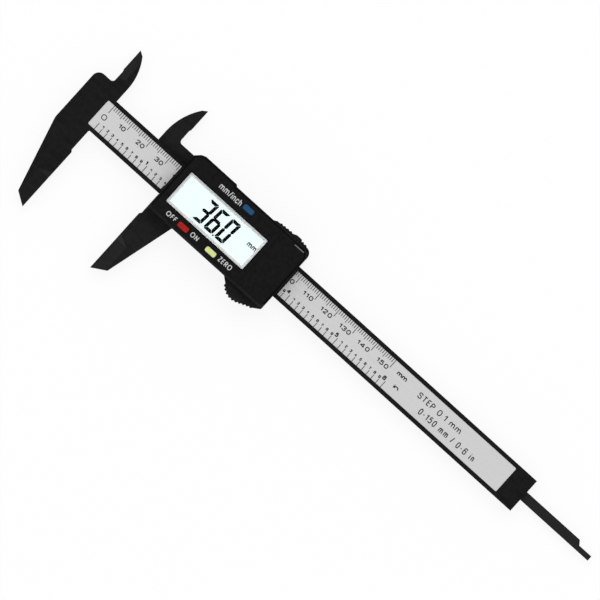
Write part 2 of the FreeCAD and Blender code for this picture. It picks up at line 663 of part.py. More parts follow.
def depth_rod_screw():
    """Screw that ties the depth rod to the back plate."""
    return screw(ROD_SCREW_X, 0, ROD_TOP, ROD_SCREW_RADIUS)


# ---------------------------------------------------------------- gib
def gib_back():
    """y of the wall that the gib's spring bears on."""
    return HALF_BEAM + PLAY + GIB_THICK + GIB_SPRING_BOW + GIB_SPRING_THICK


def gib_layer(grow=0.0):
    """Heights of the gib and its spring, centred on the beam."""
    return LAP_Z - GIB_HEIGHT / 2 - grow, LAP_Z + GIB_HEIGHT / 2 + grow


def gib_strip():
    """Brass strip that takes up the play on the beam's upper edge."""
    low = HALF_BEAM + PLAY
    return box((GIB_START, GIB_START + GIB_LENGTH), (low, low + GIB_THICK), gib_layer())


def gib_spring():
    """Bowed leaf spring behind the gib."""
    middle = GIB_START + GIB_LENGTH / 2
    left, right = middle - GIB_SPRING_LENGTH / 2, middle + GIB_SPRING_LENGTH / 2
    low = HALF_BEAM + PLAY + GIB_THICK
    high = low + GIB_SPRING_THICK

    def bow(y):
        return Part.Arc(V(left, y, 0), V(middle, y + GIB_SPRING_BOW, 0), V(right, y, 0)).toShape()
    ends = [Part.LineSegment(V(x, low, 0), V(x, high, 0)).toShape() for x in (left, right)]
    return raised(Part.Face(Part.Wire([bow(low), ends[1], bow(high), ends[0]])), gib_layer())


# ---------------------------------------------------------------- electronics
def circuit_board():
    """Board that carries the sensor pads, lying just over the beam, notched round the screw posts."""
    board = box(BOARD_X, (-BOARD_HALF, BOARD_HALF), (BOARD_Z, BOARD_TOP))
    return board.cut(screw_posts((BOARD_Z - FIT, BOARD_TOP + FIT), FIT))


def chip_cap():
    """Flat drop of black resin over the bare chip."""
    half = CHIP_SIZE / 2
    return trimmed_plate((CHIP_X - half, CHIP_X + half), (CHIP_Y - half, CHIP_Y + half),
                         (BOARD_TOP, BOARD_TOP + CHIP_HEIGHT), CHIP_CORNER)


def board_components():
    """Chip capacitors and the watch crystal."""
    length, width, height = CAPACITOR_SIZE
    parts = [box((x, x + length), (CAPACITOR_Y, CAPACITOR_Y + width), (BOARD_TOP, BOARD_TOP + height))
             for x in CAPACITOR_X]
    parts.append(Part.makeCylinder(CRYSTAL_RADIUS, CRYSTAL_LENGTH,
                                   V(CRYSTAL_X, CRYSTAL_Y, BOARD_TOP + CRYSTAL_RADIUS), V(1, 0, 0)))
    return Part.makeCompound(parts)


def snap_domes():
    """Domed steel contacts under the three buttons, square with trimmed corners."""
    return Part.makeCompound([snap_dome(x, y) for x, y in BUTTONS.values()])


def snap_dome(x, y):
    """One contact: eight slanted sides up to a flat crown."""
    foot = trimmed_plate((x - DOME_HALF, x + DOME_HALF), (y - DOME_HALF, y + DOME_HALF),
                         (BOARD_TOP, BOARD_TOP + DOME_HEIGHT), DOME_CORNER)
    crown = [e for e in foot.Edges if e.BoundBox.ZMin > BOARD_TOP + DOME_HEIGHT - PLAY]
    return foot.makeChamfer(DOME_HEIGHT - PLAY, crown)


# ---------------------------------------------------------------- display
def lcd_holder():
    """Moulded frame that locates the display and its connector on the board."""
    x = (GLASS_X[0] - FIT, GLASS_X[1] + FIT)
    y = (GLASS_Y[0] - FIT, GLASS_Y[1] + FIT)
    outer = box(HOLDER_X, (y[0] - HOLDER_WALL, y[1] + HOLDER_UPPER_WALL),
                (BOARD_TOP, FRONT_GLASS_Z + GLASS_THICK / 2))
    seat = box(x, y, (REFLECTOR_Z, CASE_TOP))
    room = box((x[0] + HOLDER_WALL, x[1] - HOLDER_WALL), (y[0] + HOLDER_WALL, zebra_y()[0] - HOLDER_WALL),
               (0, CASE_TOP))
    slot = box((x[0] + HOLDER_WALL, x[1] - HOLDER_WALL), (zebra_y()[0] - FIT, y[1]), (0, CASE_TOP))
    return outer.cut([seat, room, slot])


def zebra_y():
    """Limits of the elastomer connector across the display."""
    return GLASS_Y[1] - ZEBRA_WIDTH, GLASS_Y[1]


def zebra_strip():
    """Elastomer connector between the board and the ledge of the front glass."""
    inset = HOLDER_WALL + FIT
    return box((GLASS_X[0] + inset, GLASS_X[1] - inset), zebra_y(), (BOARD_TOP, FRONT_GLASS_Z))


def lcd_reflector():
    """Reflecting film behind the display."""
    return box(GLASS_X, (GLASS_Y[0], GLASS_Y[1] - ZEBRA_LEDGE), (REFLECTOR_Z, REAR_GLASS_Z))


def lcd_rear_glass():
    """Rear glass, shorter by the contact ledge."""
    return box(GLASS_X, (GLASS_Y[0], GLASS_Y[1] - ZEBRA_LEDGE), (REAR_GLASS_Z, FRONT_GLASS_Z))


def lcd_front_glass():
    """Front glass of the display."""
    return box(GLASS_X, GLASS_Y, (FRONT_GLASS_Z, POLARISER_Z))


def lcd_polariser():
    """Polarising film on the front glass."""
    inset = POLARISER_INSET
    return box((GLASS_X[0] + inset, GLASS_X[1] - inset), (GLASS_Y[0] + inset, GLASS_Y[1] - inset),
               (POLARISER_Z, BEZEL_Z))


def splayed_window(*levels):
    """The window with slanted sides, through levels (growth on all sides, height)."""
    wires = []
    for grow, z in levels:
        left, right = WINDOW_X[0] - grow, WINDOW_X[1] + grow
        low, high = WINDOW_Y[0] - grow, WINDOW_Y[1] + grow
        wires.append(Part.makePolygon([V(left, low, z), V(right, low, z), V(right, high, z), V(left, high, z),
                                       V(left, low, z)]))
    return Part.makeLoft(wires, True, True)


def lcd_bezel():
    """Pale frame round the visible field, bevelled inwards."""
    x = (WINDOW_X[0] - BEZEL_MARGIN, WINDOW_X[1] + BEZEL_MARGIN)
    y = (WINDOW_Y[0] - BEZEL_MARGIN + FIT, WINDOW_Y[1] + BEZEL_MARGIN - FIT)
    frame = box(x, y, (BEZEL_Z, CASE_UNDER))
    return frame.cut(splayed_window((-BEZEL_LIP, BEZEL_Z), (-BEZEL_LIP / 2, CASE_UNDER)))


def display_lens():
    """Clear window set in the case, with trimmed corners."""
    return trimmed_plate((WINDOW_X[0] + PLAY, WINDOW_X[1] - PLAY), (WINDOW_Y[0] + PLAY, WINDOW_Y[1] - PLAY),
                         (CASE_UNDER, CASE_UNDER + LENS_THICK), WINDOW_BEVEL)


# ---------------------------------------------------------------- covers
def top_edges(solid):
    """Edges round the upper face of a cover."""
    return [e for e in solid.Edges if e.BoundBox.ZMin > CASE_TOP - PLAY]


def display_cover():
    """Front shell with window, button holes, screw bosses and battery tray."""
    shell = prism(cover_outline((CASE_LEFT, DISPLAY_END)), (BOARD_TOP, CASE_TOP))
    outer = [e for e in top_edges(shell) if e.BoundBox.XMin < DISPLAY_END - PLAY]
    shell = shell.makeFillet(CASE_EDGE_ROUND, outer)
    inner = CASE_HALF - WALL
    cut = CORNER_CUT + WALL
    room = [(CASE_LEFT + WALL, -inner), (CAVITY_END, -inner), (CAVITY_END, inner), (CASE_LEFT + cut, inner),
            (CASE_LEFT + WALL, inner + WALL - cut)]
    shell = shell.cut(prism(room, (BOARD_TOP - FIT, CASE_UNDER)))
    bosses = screw_posts((BOARD_TOP, CASE_UNDER))
    tray_corner = CASE_CORNER - WALL
    tray = prism([(CAVITY_END, -TRAY_HALF), (TRAY_END, -TRAY_HALF, tray_corner),
                  (TRAY_END, TRAY_HALF, tray_corner), (CAVITY_END, TRAY_HALF)], (BOARD_TOP, TRAY_TOP))
    shell = joined(shell, *bosses, tray)
    pilots = [pilot_hole(x, y, (0, BOARD_TOP + SCREW_REACH + FIT)) for x, y in screw_places()]
    holes = [button_hole(x, y) for x, y in BUTTONS.values()]
    window = plate(WINDOW_X, WINDOW_Y, (0, CASE_TOP + FIT), WINDOW_BEVEL)
    splay = splayed_window((0, CASE_TOP - WINDOW_BEVEL / 2), (WINDOW_BEVEL, CASE_TOP + PLAY))
    grooves = rails((DISPLAY_END, TRAY_END + FIT), CASE_HALF, FIT)
    return shell.cut(pilots + holes + [window, splay, battery_well()] + grooves)




def rails(x, outer, grow=0.0):
    """Rails of the battery cover from the tray out to outer, or their grooves with room on all sides."""
    inner = TRAY_HALF - RAIL_DEPTH - grow
    z = (RAIL_Z - grow, RAIL_Z + RAIL_HEIGHT + grow)
    return [box(x, (inner, outer), z), box(x, (-outer, -inner), z)]


def battery_well():
    """Room for the cell, its side contact and the tail of its lower contact."""
    well = cylinder(CELL_X, 0, WELL_RADIUS, (BOARD_TOP - FIT, CASE_TOP))
    depth = (BOARD_TOP - FIT, CASE_TOP)
    mouth = box((CELL_X, TRAY_END + FIT), (-WELL_RADIUS + WALL, WELL_RADIUS - WALL), depth)
    side = arc_band(CELL_RADIUS + CONTACT_THICK + WELL_GAP, CONTACT_SPAN + CONTACT_ROOM, depth)
    tail = box((CAVITY_END - FIT, CELL_X), (-CONTACT_TAIL / 2 - FIT, CONTACT_TAIL / 2 + FIT),
               (BOARD_TOP - FIT, BOARD_TOP + CONTACT_THICK + FIT))
    return well.fuse([mouth, side, tail])


def arc_band(outer, half_angle, z):
    """A stretch of a tube round the cell, on its left side."""
    start = V(CELL_X, 0, z[0])
    upwards = V(0, 0, 1)
    height = z[1] - z[0]
    sector = Part.makeCylinder(outer, height, start, upwards, 2 * half_angle)
    sector.rotate(start, upwards, 180 - half_angle)
    return sector.cut(Part.makeCylinder(CELL_RADIUS, height, start))


def battery_cover():
    """End cap that slides off towards the beam's end."""
    x = (DISPLAY_END + SEAM, CASE_RIGHT)
    cap = prism(cover_outline(x, CASE_LOWER_CORNER, CASE_CORNER), (BOARD_TOP + PLAY, CASE_TOP))
    outer = [e for e in top_edges(cap) if e.BoundBox.XMax > x[0] + PLAY]
    cap = cap.makeFillet(CASE_EDGE_ROUND, outer)
    side = CASE_HALF - WALL
    end = TRAY_END + SEAM
    room = prism([(x[0] - FIT, -side), (end, -side, CASE_LOWER_CORNER - WALL),
                  (end, side, CASE_CORNER - WALL), (x[0] - FIT, side)], (BOARD_TOP - FIT, CASE_UNDER))
    cap = cap.cut(room)
    cap = joined(cap, *rails((x[0], TRAY_END - CASE_CORNER), CASE_HALF - WALL / 2))
    centre = CASE_HALF - NICK_EDGE
    nick = plate((NICK_X, NICK_X + NICK_LENGTH), (centre - NICK_WIDTH / 2, centre + NICK_WIDTH / 2),
                 (CASE_TOP - NICK_DEPTH, CASE_TOP + FIT), NICK_WIDTH / 2 - PLAY)
    return cap.cut(nick)


# ---------------------------------------------------------------- buttons
def button_hole(x, y):
    """Hole in the front wall for a button's cap."""
    half_x, half_y = BUTTON_LENGTH / 2 + FIT, BUTTON_WIDTH / 2 + FIT
    return plate((x - half_x, x + half_x), (y - half_y, y + half_y), (CASE_UNDER - FIT, CASE_TOP + FIT),
                 BUTTON_CORNER + FIT)


def button(x, y):
    """Push button: rounded cap, hidden flange and stem down to its dome."""
    half_x, half_y = BUTTON_LENGTH / 2, BUTTON_WIDTH / 2
    top = CASE_TOP + BUTTON_PROUD
    flange_top = CASE_UNDER - PLAY
    cap = plate((x - half_x, x + half_x), (y - half_y, y + half_y), (flange_top, top), BUTTON_CORNER)
    cap = cap.makeChamfer(BUTTON_BEVEL, [e for e in cap.Edges if e.BoundBox.ZMin > top - PLAY])
    flange = box((x - half_x - BUTTON_FLANGE, x + half_x + BUTTON_FLANGE),
                 (y - half_y - BUTTON_FLANGE / 2, y + half_y + BUTTON_FLANGE / 2),
                 (flange_top - BUTTON_FLANGE_THICK, flange_top))
    stem = box((x - BUTTON_STEM, x + BUTTON_STEM), (y - BUTTON_STEM, y + BUTTON_STEM),
               (BOARD_TOP + DOME_HEIGHT + BUTTON_TRAVEL + PLAY, flange_top))
    return joined(cap, flange, stem)


# ---------------------------------------------------------------- battery
def button_cell():
    """Alkaline button cell, its narrower negative cap downwards."""
    can = cylinder(CELL_X, 0, CELL_RADIUS, (CELL_Z + CELL_RIM, CELL_Z + CELL_THICK))
    return joined(can, cylinder(CELL_X, 0, CELL_RADIUS - CELL_RIM, (CELL_Z, CELL_Z + CELL_RIM)))


def battery_contact_plus():
    """Sprung contact against the side of the cell."""
    z = (CELL_Z + 2 * CELL_RIM, TRAY_TOP - CELL_RIM)
    return arc_band(CELL_RADIUS + CONTACT_THICK, CONTACT_SPAN, z)


def battery_contact_minus():
    """Flat contact under the cell, with a tail to the board."""
    half = CELL_RADIUS / 2
    pad = box((CELL_X - half, CELL_X + half), (-half, half), (BOARD_TOP, CELL_Z))
    tail = box((CAVITY_END, CELL_X), (-CONTACT_TAIL / 2, CONTACT_TAIL / 2), (BOARD_TOP, CELL_Z))
    return joined(pad, tail)


# ---------------------------------------------------------------- export
FIXED = (beam_with_fixed_jaws, stator_strip, scale_label, end_stop, end_stop_screws)
SLIDING = (slider_frame, back_plate, case_screws, depth_rod, depth_rod_screw, gib_strip, gib_spring,
           circuit_board, chip_cap, board_components, snap_domes, zebra_strip, lcd_holder, lcd_reflector,
           lcd_rear_glass, lcd_front_glass, lcd_polariser, lcd_bezel, display_lens, display_cover,
           battery_cover, button_cell, battery_contact_plus, battery_contact_minus)


def export(name, solid):
    """Writes one node."""
    solid.exportStep(os.path.join("parts", name + ".step"))
    print(f"{name}: {len(solid.Solids)} solid(s), {solid.Volume:.1f} mm3, valid {solid.isValid()}")


def main():
    os.makedirs("parts", exist_ok=True)
    for build in FIXED:
        export(build.__name__, build())
    for build in SLIDING:
        export(build.__name__, moved_with_slider(build()))
    for name, (x, y) in BUTTONS.items():
        export(name, moved_with_slider(button(x, y)))


main()
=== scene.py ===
"""Looks of a digital caliper that lies on its back plate.

The frame's own nodes keep their shape and take a finish from their material slot. The printed
scales, the legends, the window, the display's segments and the grey dash of painted highlight in
the battery cover's nick are modelled here, in millimetres, and ride on the bodies that carry them.
"""

import logging
import math
from collections.abc import Callable, Iterator
from contextlib import contextmanager
from dataclasses import dataclass
from enum import Enum
from functools import partial, reduce

import bmesh
import bpy
from mathutils import Matrix, Vector


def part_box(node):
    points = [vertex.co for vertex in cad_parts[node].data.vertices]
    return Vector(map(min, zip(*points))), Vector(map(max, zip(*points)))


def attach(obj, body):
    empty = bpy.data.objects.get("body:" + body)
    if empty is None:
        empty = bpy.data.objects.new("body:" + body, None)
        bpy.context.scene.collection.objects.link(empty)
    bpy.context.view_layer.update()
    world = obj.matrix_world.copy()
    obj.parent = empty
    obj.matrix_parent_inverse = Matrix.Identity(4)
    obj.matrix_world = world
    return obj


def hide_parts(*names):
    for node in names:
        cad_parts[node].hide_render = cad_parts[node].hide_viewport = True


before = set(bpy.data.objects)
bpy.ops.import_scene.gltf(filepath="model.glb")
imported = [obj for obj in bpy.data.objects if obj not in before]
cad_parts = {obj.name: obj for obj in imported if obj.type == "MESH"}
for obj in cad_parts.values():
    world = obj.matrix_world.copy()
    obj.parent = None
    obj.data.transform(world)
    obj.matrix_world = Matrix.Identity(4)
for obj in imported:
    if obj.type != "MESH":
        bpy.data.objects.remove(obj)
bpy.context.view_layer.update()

Piece = bpy.types.Object
Socket = bpy.types.NodeSocket
Colour = tuple[float, float, float]
Stroke = tuple[tuple[float, float], ...]

MM = 0.001
INCH = 25.4  # mm
HAIR = 0.01  # mm, less than anything that is drawn flat
PRINT = 0.02  # thickness of printed ink, mm
MARK_CORNER = 0.25  # corner of a printed mark, as a share of its width
FACING_UP = 0.9  # upward part of a face's normal, over which it is a top
WHITE: Colour = (1.0, 1.0, 1.0)
BLACK: Colour = (0.0, 0.0, 0.0)

log = logging.getLogger("caliper")


class Body(Enum):
    """Moving body that a piece rides on."""

    BEAM = "beam"
    SLIDER = "slider"
    BATTERY_COVER = "battery_cover"


class Hang(Enum):
    """Edge of the label that a graduation starts from."""

    TOP = -1
    BOTTOM = 1


class Pick(Enum):
    """Elements of a mesh that are picked."""

    FACE = "faces"
    VERT = "verts"


@dataclass(frozen=True)
class Span:
    """Flat rectangle in mm, in which something printed fits."""

    left: float
    bottom: float
    right: float
    top: float


def low(node: str) -> Vector:
    """Lowest corner of a CAD node, in mm."""
    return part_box(node)[0] / MM


def high(node: str) -> Vector:
    """Highest corner of a CAD node, in mm."""
    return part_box(node)[1] / MM


def moved(x: float, y: float, z: float = 0.0) -> Matrix:
    """A shift, in the units of what it moves."""
    return Matrix.Translation((x, y, z))


# ---- mesh bench


def linked(name: str, data: bpy.types.ID) -> Piece:
    """Makes an object of a curve, mesh, lamp or camera and adds it to the scene.

    Args:
        name: name of the object.
        data: what it shows.

    Returns:
        The object.
    """
    made = bpy.data.objects.new(name, data)
    bpy.context.collection.objects.link(made)
    return made


def take(*pieces: Piece) -> None:
    """Selects some pieces, or none, and nothing else, so that an operator acts only on them.

    Args:
        pieces: what is selected, the active one first.
    """
    bpy.ops.object.select_all(action="DESELECT")
    for piece in pieces:
        piece.select_set(True)
        bpy.context.view_layer.objects.active = pieces[0]


@contextmanager
def shaping(piece: Piece, kind: Pick = Pick.FACE) -> Iterator[None]:
    """Holds a piece in edit mode, with all of it selected.

    Args:
        piece: mesh to shape.
        kind: what is picked in it.
    """
    take(piece)
    bpy.ops.object.mode_set(mode="EDIT")
    bpy.ops.mesh.select_mode(type=kind.name)
    bpy.ops.mesh.select_all(action="SELECT")
    yield
    bpy.ops.object.mode_set(mode="OBJECT")


def pick(piece: Piece, kind: Pick, wanted: Callable[..., bool]) -> None:
    """Selects the elements of a piece in edit mode that pass a test, and no others.

    Args:
        piece: mesh in edit mode.
        kind: what is picked.
        wanted: test on one of them.
    """
    bpy.ops.mesh.select_all(action="DESELECT")
    mesh = bmesh.from_edit_mesh(piece.data)
    for element in getattr(mesh, kind.value):
        element.select_set(wanted(element))
    mesh.select_flush_mode()
    bmesh.update_edit_mesh(piece.data)


def draw_in_top(piece: Piece, inset: float, rise: float) -> None:
    """Draws in a piece's top face, which leaves a slope all round it.

    Args:
        piece: closed mesh with a flat top.
        inset: how far the face is drawn in, mm.
        rise: how far it rises, or sinks where it is less than 0, mm.
    """
    with shaping(piece):
        pick(piece, Pick.FACE, lambda face: face.normal.z > FACING_UP)
        bpy.ops.mesh.inset(thickness=inset, depth=rise)


def flat_blank(name: str, width: float, length: float) -> Piece:
    """Adds a flat rectangle, centred on the origin, that a printed shape is worked from.

    Args:
        name: name of the piece.
        width: size along X, mm.
        length: size along Y, mm.

    Returns:
        The rectangle, in mm.
    """
    take()
    bpy.ops.mesh.primitive_plane_add(size=1)
    piece = bpy.context.object
    piece.name = name
    with shaping(piece):
        bpy.ops.transform.resize(value=(width, length, 1))
    return piece


def thicken(piece: Piece, height: float) -> None:
    """Raises a flat shape into a closed body that stands on its own plane.

    Args:
        piece: flat mesh at z 0.
        height: thickness, mm.
    """
    with shaping(piece):
        bpy.ops.mesh.extrude_region_move(TRANSFORM_OT_translate={"value": (0, 0, height)})
        bpy.ops.mesh.select_all(action="SELECT")
        bpy.ops.mesh.normals_make_consistent(inside=False)


@dataclass(frozen=True)
class Bar:
    """Thin bar with rounded corners: a graduation, a dot or a pane, or a ring of its outline."""

    width: float
    length: float
    corner: float
    height: float
    steps: int = 2  # facets of a corner
    wall: float = 0.0  # of a ring; 0 where it is solid

    def made(self, name: str) -> Piece:
        """Models the bar, centred on the origin.

        Args:
            name: name of the piece.

        Returns:
            The bar, in mm.
        """
        piece = flat_blank(name, self.width, self.length)
        with shaping(piece, Pick.VERT):
            bpy.ops.mesh.bevel(offset=self.corner, segments=self.steps, affect="VERTICES")
            if self.wall:
                bpy.ops.mesh.select_mode(type="FACE")
                bpy.ops.mesh.select_all(action="SELECT")
                bpy.ops.mesh.inset(thickness=self.wall)
                bpy.ops.mesh.delete(type="FACE")
        thicken(piece, self.height)
        return piece


def loop(left: float, bottom: float, right: float, top: float) -> Stroke:
    """Closed stroke that fills a box, with well rounded corners.

    Args:
        left: X of its left side.
        bottom: Y of its foot.
        right: X of its right side.
        top: Y of its head.

    Returns:
        Its points, the last one on the first.
    """
    across, up = (left + right) / 2, (bottom + top) / 2
    return (
        (left, up), (left, bottom), (across, bottom), (right, bottom),
        (right, up), (right, top), (across, top), (left, top), (left, up),
    )


BOW: Stroke = ((0, 0.4), (0, 0.7), (0.72, 0.7), (0.72, 0))
SECOND_BOW: Stroke = tuple((x + 0.72, y) for x, y in BOW)
STEM: Stroke = ((0, 0), (0, 1))
SHORT_STEM: Stroke = ((0, 0), (0, 0.7))
CAP_BAR: Stroke = ((0, 1), (0.7, 1))
MIDDLE_BAR: Stroke = ((0, 0.52), (0.62, 0.52))
BASE_BAR: Stroke = ((0, 0), (0.7, 0))

# Each character's width and its strokes, one unit high.
CHARACTERS: dict[str, tuple[float, tuple[Stroke, ...]]] = {
    "0": (1.0, (((0, 0), (1, 0), (1, 1), (0, 1), (0, 0)),)),
    "1": (0.5, (((0, 0.7), (0.5, 1)), ((0.5, 1), (0.5, 0)))),
    "2": (1.0, (((0, 0.72), (0, 1), (1, 1), (1, 0.62), (0, 0)), ((0, 0), (1, 0)))),
    "3": (1.0, (
        ((0, 0.78), (0, 1), (1, 1), (1, 0.54), (0.4, 0.54)),
        ((0.4, 0.54), (1, 0.54), (1, 0), (0, 0), (0, 0.22)),
    )),
    "4": (1.25, (((0.92, 0), (0.92, 1)), ((0.92, 1), (0, 0.28)), ((0, 0.28), (1.25, 0.28)))),
    "5": (1.0, (
        ((0.94, 1), (0.1, 1)), ((0.1, 1), (0.05, 0.5)),
        ((0.05, 0.5), (0.2, 0.64), (1, 0.68), (1, 0), (0, 0), (0, 0.2)),
    )),
    "6": (1.0, (loop(0, 0, 1, 0.6), ((0, 0.3), (0, 1), (0.5, 1), (0.95, 1), (0.95, 0.8)))),
    "7": (1.0, (((0, 1), (1, 1)), ((1, 1), (0.4, 0.5), (0.35, 0)))),
    "8": (1.0, (loop(0.05, 0.53, 0.95, 1), loop(0, 0, 1, 0.53))),
    "9": (1.0, (loop(0, 0.4, 1, 1), ((1, 0.7), (1, 0), (0.5, 0), (0.05, 0), (0.05, 0.2)))),
    "m": (1.44, (SHORT_STEM, BOW, SECOND_BOW)),
    "n": (0.72, (SHORT_STEM, BOW)),
    "h": (0.72, (STEM, BOW)),
    "i": (0.0, (SHORT_STEM, ((0, 0.88), (0, 1)))),
    "c": (0.7, (((0.7, 0.5), (0.7, 0.7), (0, 0.7), (0, 0), (0.7, 0), (0.7, 0.2)),)),
    "E": (0.7, (STEM, CAP_BAR, MIDDLE_BAR, BASE_BAR)),
    "F": (0.7, (STEM, CAP_BAR, MIDDLE_BAR)),
    "N": (0.95, (STEM, ((0, 1), (0.95, 0)), ((0.95, 0), (0.95, 1)))),
    "O": (1.35, (((0, 0), (1.35, 0), (1.35, 1), (0, 1), (0, 0)),)),
    "P": (0.85, (STEM, ((0, 1), (0.85, 1), (0.85, 0.46), (0, 0.46)))),
    "R": (0.9, (STEM, ((0, 1), (0.9, 1), (0.9, 0.5), (0, 0.5)), ((0.45, 0.5), (0.9, 0)))),
    "S": (0.9, (
        ((0.9, 0.76), (0.9, 1), (0, 1), (0, 0.56), (0.9, 0.5), (0.9, 0), (0, 0), (0, 0.24)),
    )),
    "T": (0.9, (((0.45, 0), (0.45, 1)), ((0, 1), (0.9, 1)))),
    "Z": (0.9, (((0, 1), (0.9, 1)), ((0.9, 1), (0, 0)), ((0, 0), (0.9, 0)))),
    "/": (0.45, (((0, 0), (0.45, 1)),)),
    "-": (0.5, (((0, 0.42), (0.5, 0.42)),)),
    ".": (0.0, (((0, 0), (0, 0.05)),)),
    " ": (0.3, ()),
}


@dataclass(frozen=True)
class Lettering:
    """Plain round-cornered figures and letters, drawn with one even stroke."""

    stroke: float  # mm
    spacing: float = 0.42  # between characters, as a share of a capital's height
    order: int = 3  # of a curved stroke's spline
    smoothness: int = 4  # points between a stroke's own

    def widths(self, words: str) -> float:
        """Adds up the widths of the characters of some words, in units."""
        return sum(CHARACTERS[character][0] for character in words)

    def spline(self, curve: bpy.types.Curve, points: list[tuple[float, float]]) -> None:
        """Adds one stroke to a curve; a stroke that ends where it starts is closed.

        Args:
            curve: curve that holds the whole word.
            points: control points, mm.
        """
        closed = points[0] == points[-1]
        points = points[:-1] if closed else points
        line = curve.splines.new("NURBS")
        line.points.add(len(points) - 1)
        for point, (x, y) in zip(line.points, points):
            point.co = (x, y, 0, 1)
        line.order_u = min(self.order, len(points))
        line.use_cyclic_u = closed
        line.use_endpoint_u = not closed
        line.resolution_u = self.smoothness

    def made(self, name: str, words: str, span: Span) -> Piece:
        """Draws the words so that their ink fills a rectangle, and makes them a mesh.

        Args:
            name: name of the piece.
            words: what is printed.
            span: rectangle that the ink fills, mm.

        Returns:
            The words, in mm, standing on z 0.
        """
        reach = max(y for c in words for line in CHARACTERS[c][1] for _, y in line)
        height = (span.top - span.bottom - self.stroke) / reach
        gaps = self.spacing * height * (len(words) - 1)
        unit = (span.right - span.left - self.stroke - gaps) / self.widths(words)
        curve = bpy.data.curves.new(name, "CURVE")
        curve.bevel_depth = self.stroke / 2
        curve.bevel_resolution = 0
        curve.use_fill_caps = True
        left, bottom = span.left + self.stroke / 2, span.bottom + self.stroke / 2
        for character in words:
            width, strokes = CHARACTERS[character]
            for points in strokes:
                self.spline(curve, [(left + x * unit, bottom + y * height) for x, y in points])
            left += width * unit + self.spacing * height
        take(linked(name, curve))
        bpy.ops.object.convert(target="MESH")
        piece = bpy.context.object
        flat = Matrix.Diagonal((1, 1, PRINT / self.stroke, 1))
        piece.data.transform(moved(0, 0, PRINT / 2) @ flat)
        return piece


def copies(master: Piece, places: list[Matrix]) -> list[Piece]:
    """Copies a modelled piece to several places and removes the pattern.

    Args:
        master: piece that is copied.
        places: where each copy goes, mm.

    Returns:
        The copies, each with its own mesh.
    """
    made = [linked(master.name, master.data.copy()) for _ in places]
    for twin, place in zip(made, places):
        twin.data.transform(place)
    bpy.data.objects.remove(master)
    return made


def joined(name: str, pieces: list[Piece]) -> Piece:
    """Joins pieces of one print into one object.

    Args:
        name: name of the whole.
        pieces: what it is made of.

    Returns:
        The whole.
    """
    take(*pieces)
    bpy.ops.object.join()
    whole = bpy.context.object
    whole.name = name
    whole.data.name = name
    return whole


def seated(piece: Piece, body: Body, z: float, finish: bpy.types.Material) -> None:
    """Puts a finished piece at its height, in metres, on its body.

    Args:
        piece: piece in mm, standing on z 0.
        body: body that carries it.
        z: height of the surface under it, mm.
        finish: material it is given.
    """
    piece.data.transform(Matrix.Scale(MM, 4) @ moved(0, 0, z))
    piece.data.materials.clear()
    piece.data.materials.append(finish)
    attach(piece, body.value)
    log.info("%s: %d faces on %s", piece.name, len(piece.data.polygons), body.value)


# ---- shader bench


def shaded(colour: Colour, share: float) -> Colour:
    """A colour made darker or lighter by a share."""
    return tuple(min(1.0, part * share) for part in colour)


@dataclass(frozen=True)
class Bench:
    """Places and joins the nodes of one material, world or node group."""

    tree: bpy.types.NodeTree
    drain: bpy.types.Node  # shader or group output that they feed

    def join(self, socket: Socket, value: object) -> None:
        """Gives an input a plain value or a source.

        Args:
            socket: the input.
            value: a number, a colour, or the output that it is linked to.
        """
        if isinstance(value, Socket):
            self.tree.links.new(value, socket)
        else:
            socket.default_value = (*value, 1.0) if isinstance(value, tuple) else value

    def feed(self, name: str, value: object) -> None:
        """Gives an input of the shader or group output a value or a source."""
        self.join(self.drain.inputs[name], value)

    def add(self, kind: str, values: dict | None = None, **settings: object) -> bpy.types.Node:
        """Adds a node.

        Args:
            kind: node type without its ShaderNode prefix.
            values: plain values or sources of its inputs, by name or number.
            settings: the node's own settings.

        Returns:
            The node.
        """
        node = self.tree.nodes.new("ShaderNode" + kind)
        for name, value in settings.items():
            setattr(node, name, value)
        for name, value in (values or {}).items():
            self.join(node.inputs[name], value)
        return node

    def place(self, kind: str = "Object") -> Socket:
        """Adds where a point is on its piece, or its Normal there."""
        return self.add("TexCoord").outputs[kind]

    def axis(self, vector: object, letter: str) -> Socket:
        """Takes one axis out of a vector."""
        return self.add("SeparateXYZ", {"Vector": vector}).outputs[letter]

    def maths(self, operation: str, first: object, second: object = 0.0) -> Socket:
        """Adds a sum and returns its result."""
        return self.add("Math", {0: first, 1: second}, operation=operation).outputs[0]

    def product(self, *factors: object) -> Socket:
        """Multiplies values together and returns the result."""
        return reduce(partial(self.maths, "MULTIPLY"), factors)

    def noise(self, where: object, scale: object, detail: float = 2.0) -> Socket:
        """Adds soft noise at a place and returns its value, about 0 to 1."""
        values = {"Vector": where, "Scale": scale, "Detail": detail}
        return self.add("TexNoise", values).outputs["Fac"]

    def ramp(
        self, value: object, start: float, end: float, least: float = 0.0, most: float = 1.0
    ) -> Socket:
        """Maps a value from one stretch to another, held at both ends, and returns it.

        Args:
            value: what is mapped.
            start: value that gives the least result.
            end: value that gives the most.
            least: result at the start and before it.
            most: result at the end and past it.

        Returns:
            The result.
        """
        values = {
            "Value": value, "From Min": start, "From Max": end, "To Min": least, "To Max": most
        }
        return self.add("MapRange", values, interpolation_type="SMOOTHSTEP").outputs["Result"]

    def blend(self, share: object, plain: object, other: object) -> Socket:
        """Mixes two colours by a share and returns the colour."""
        return self.add("Mix", {0: share, 6: plain, 7: other}, data_type="RGBA").outputs[2]


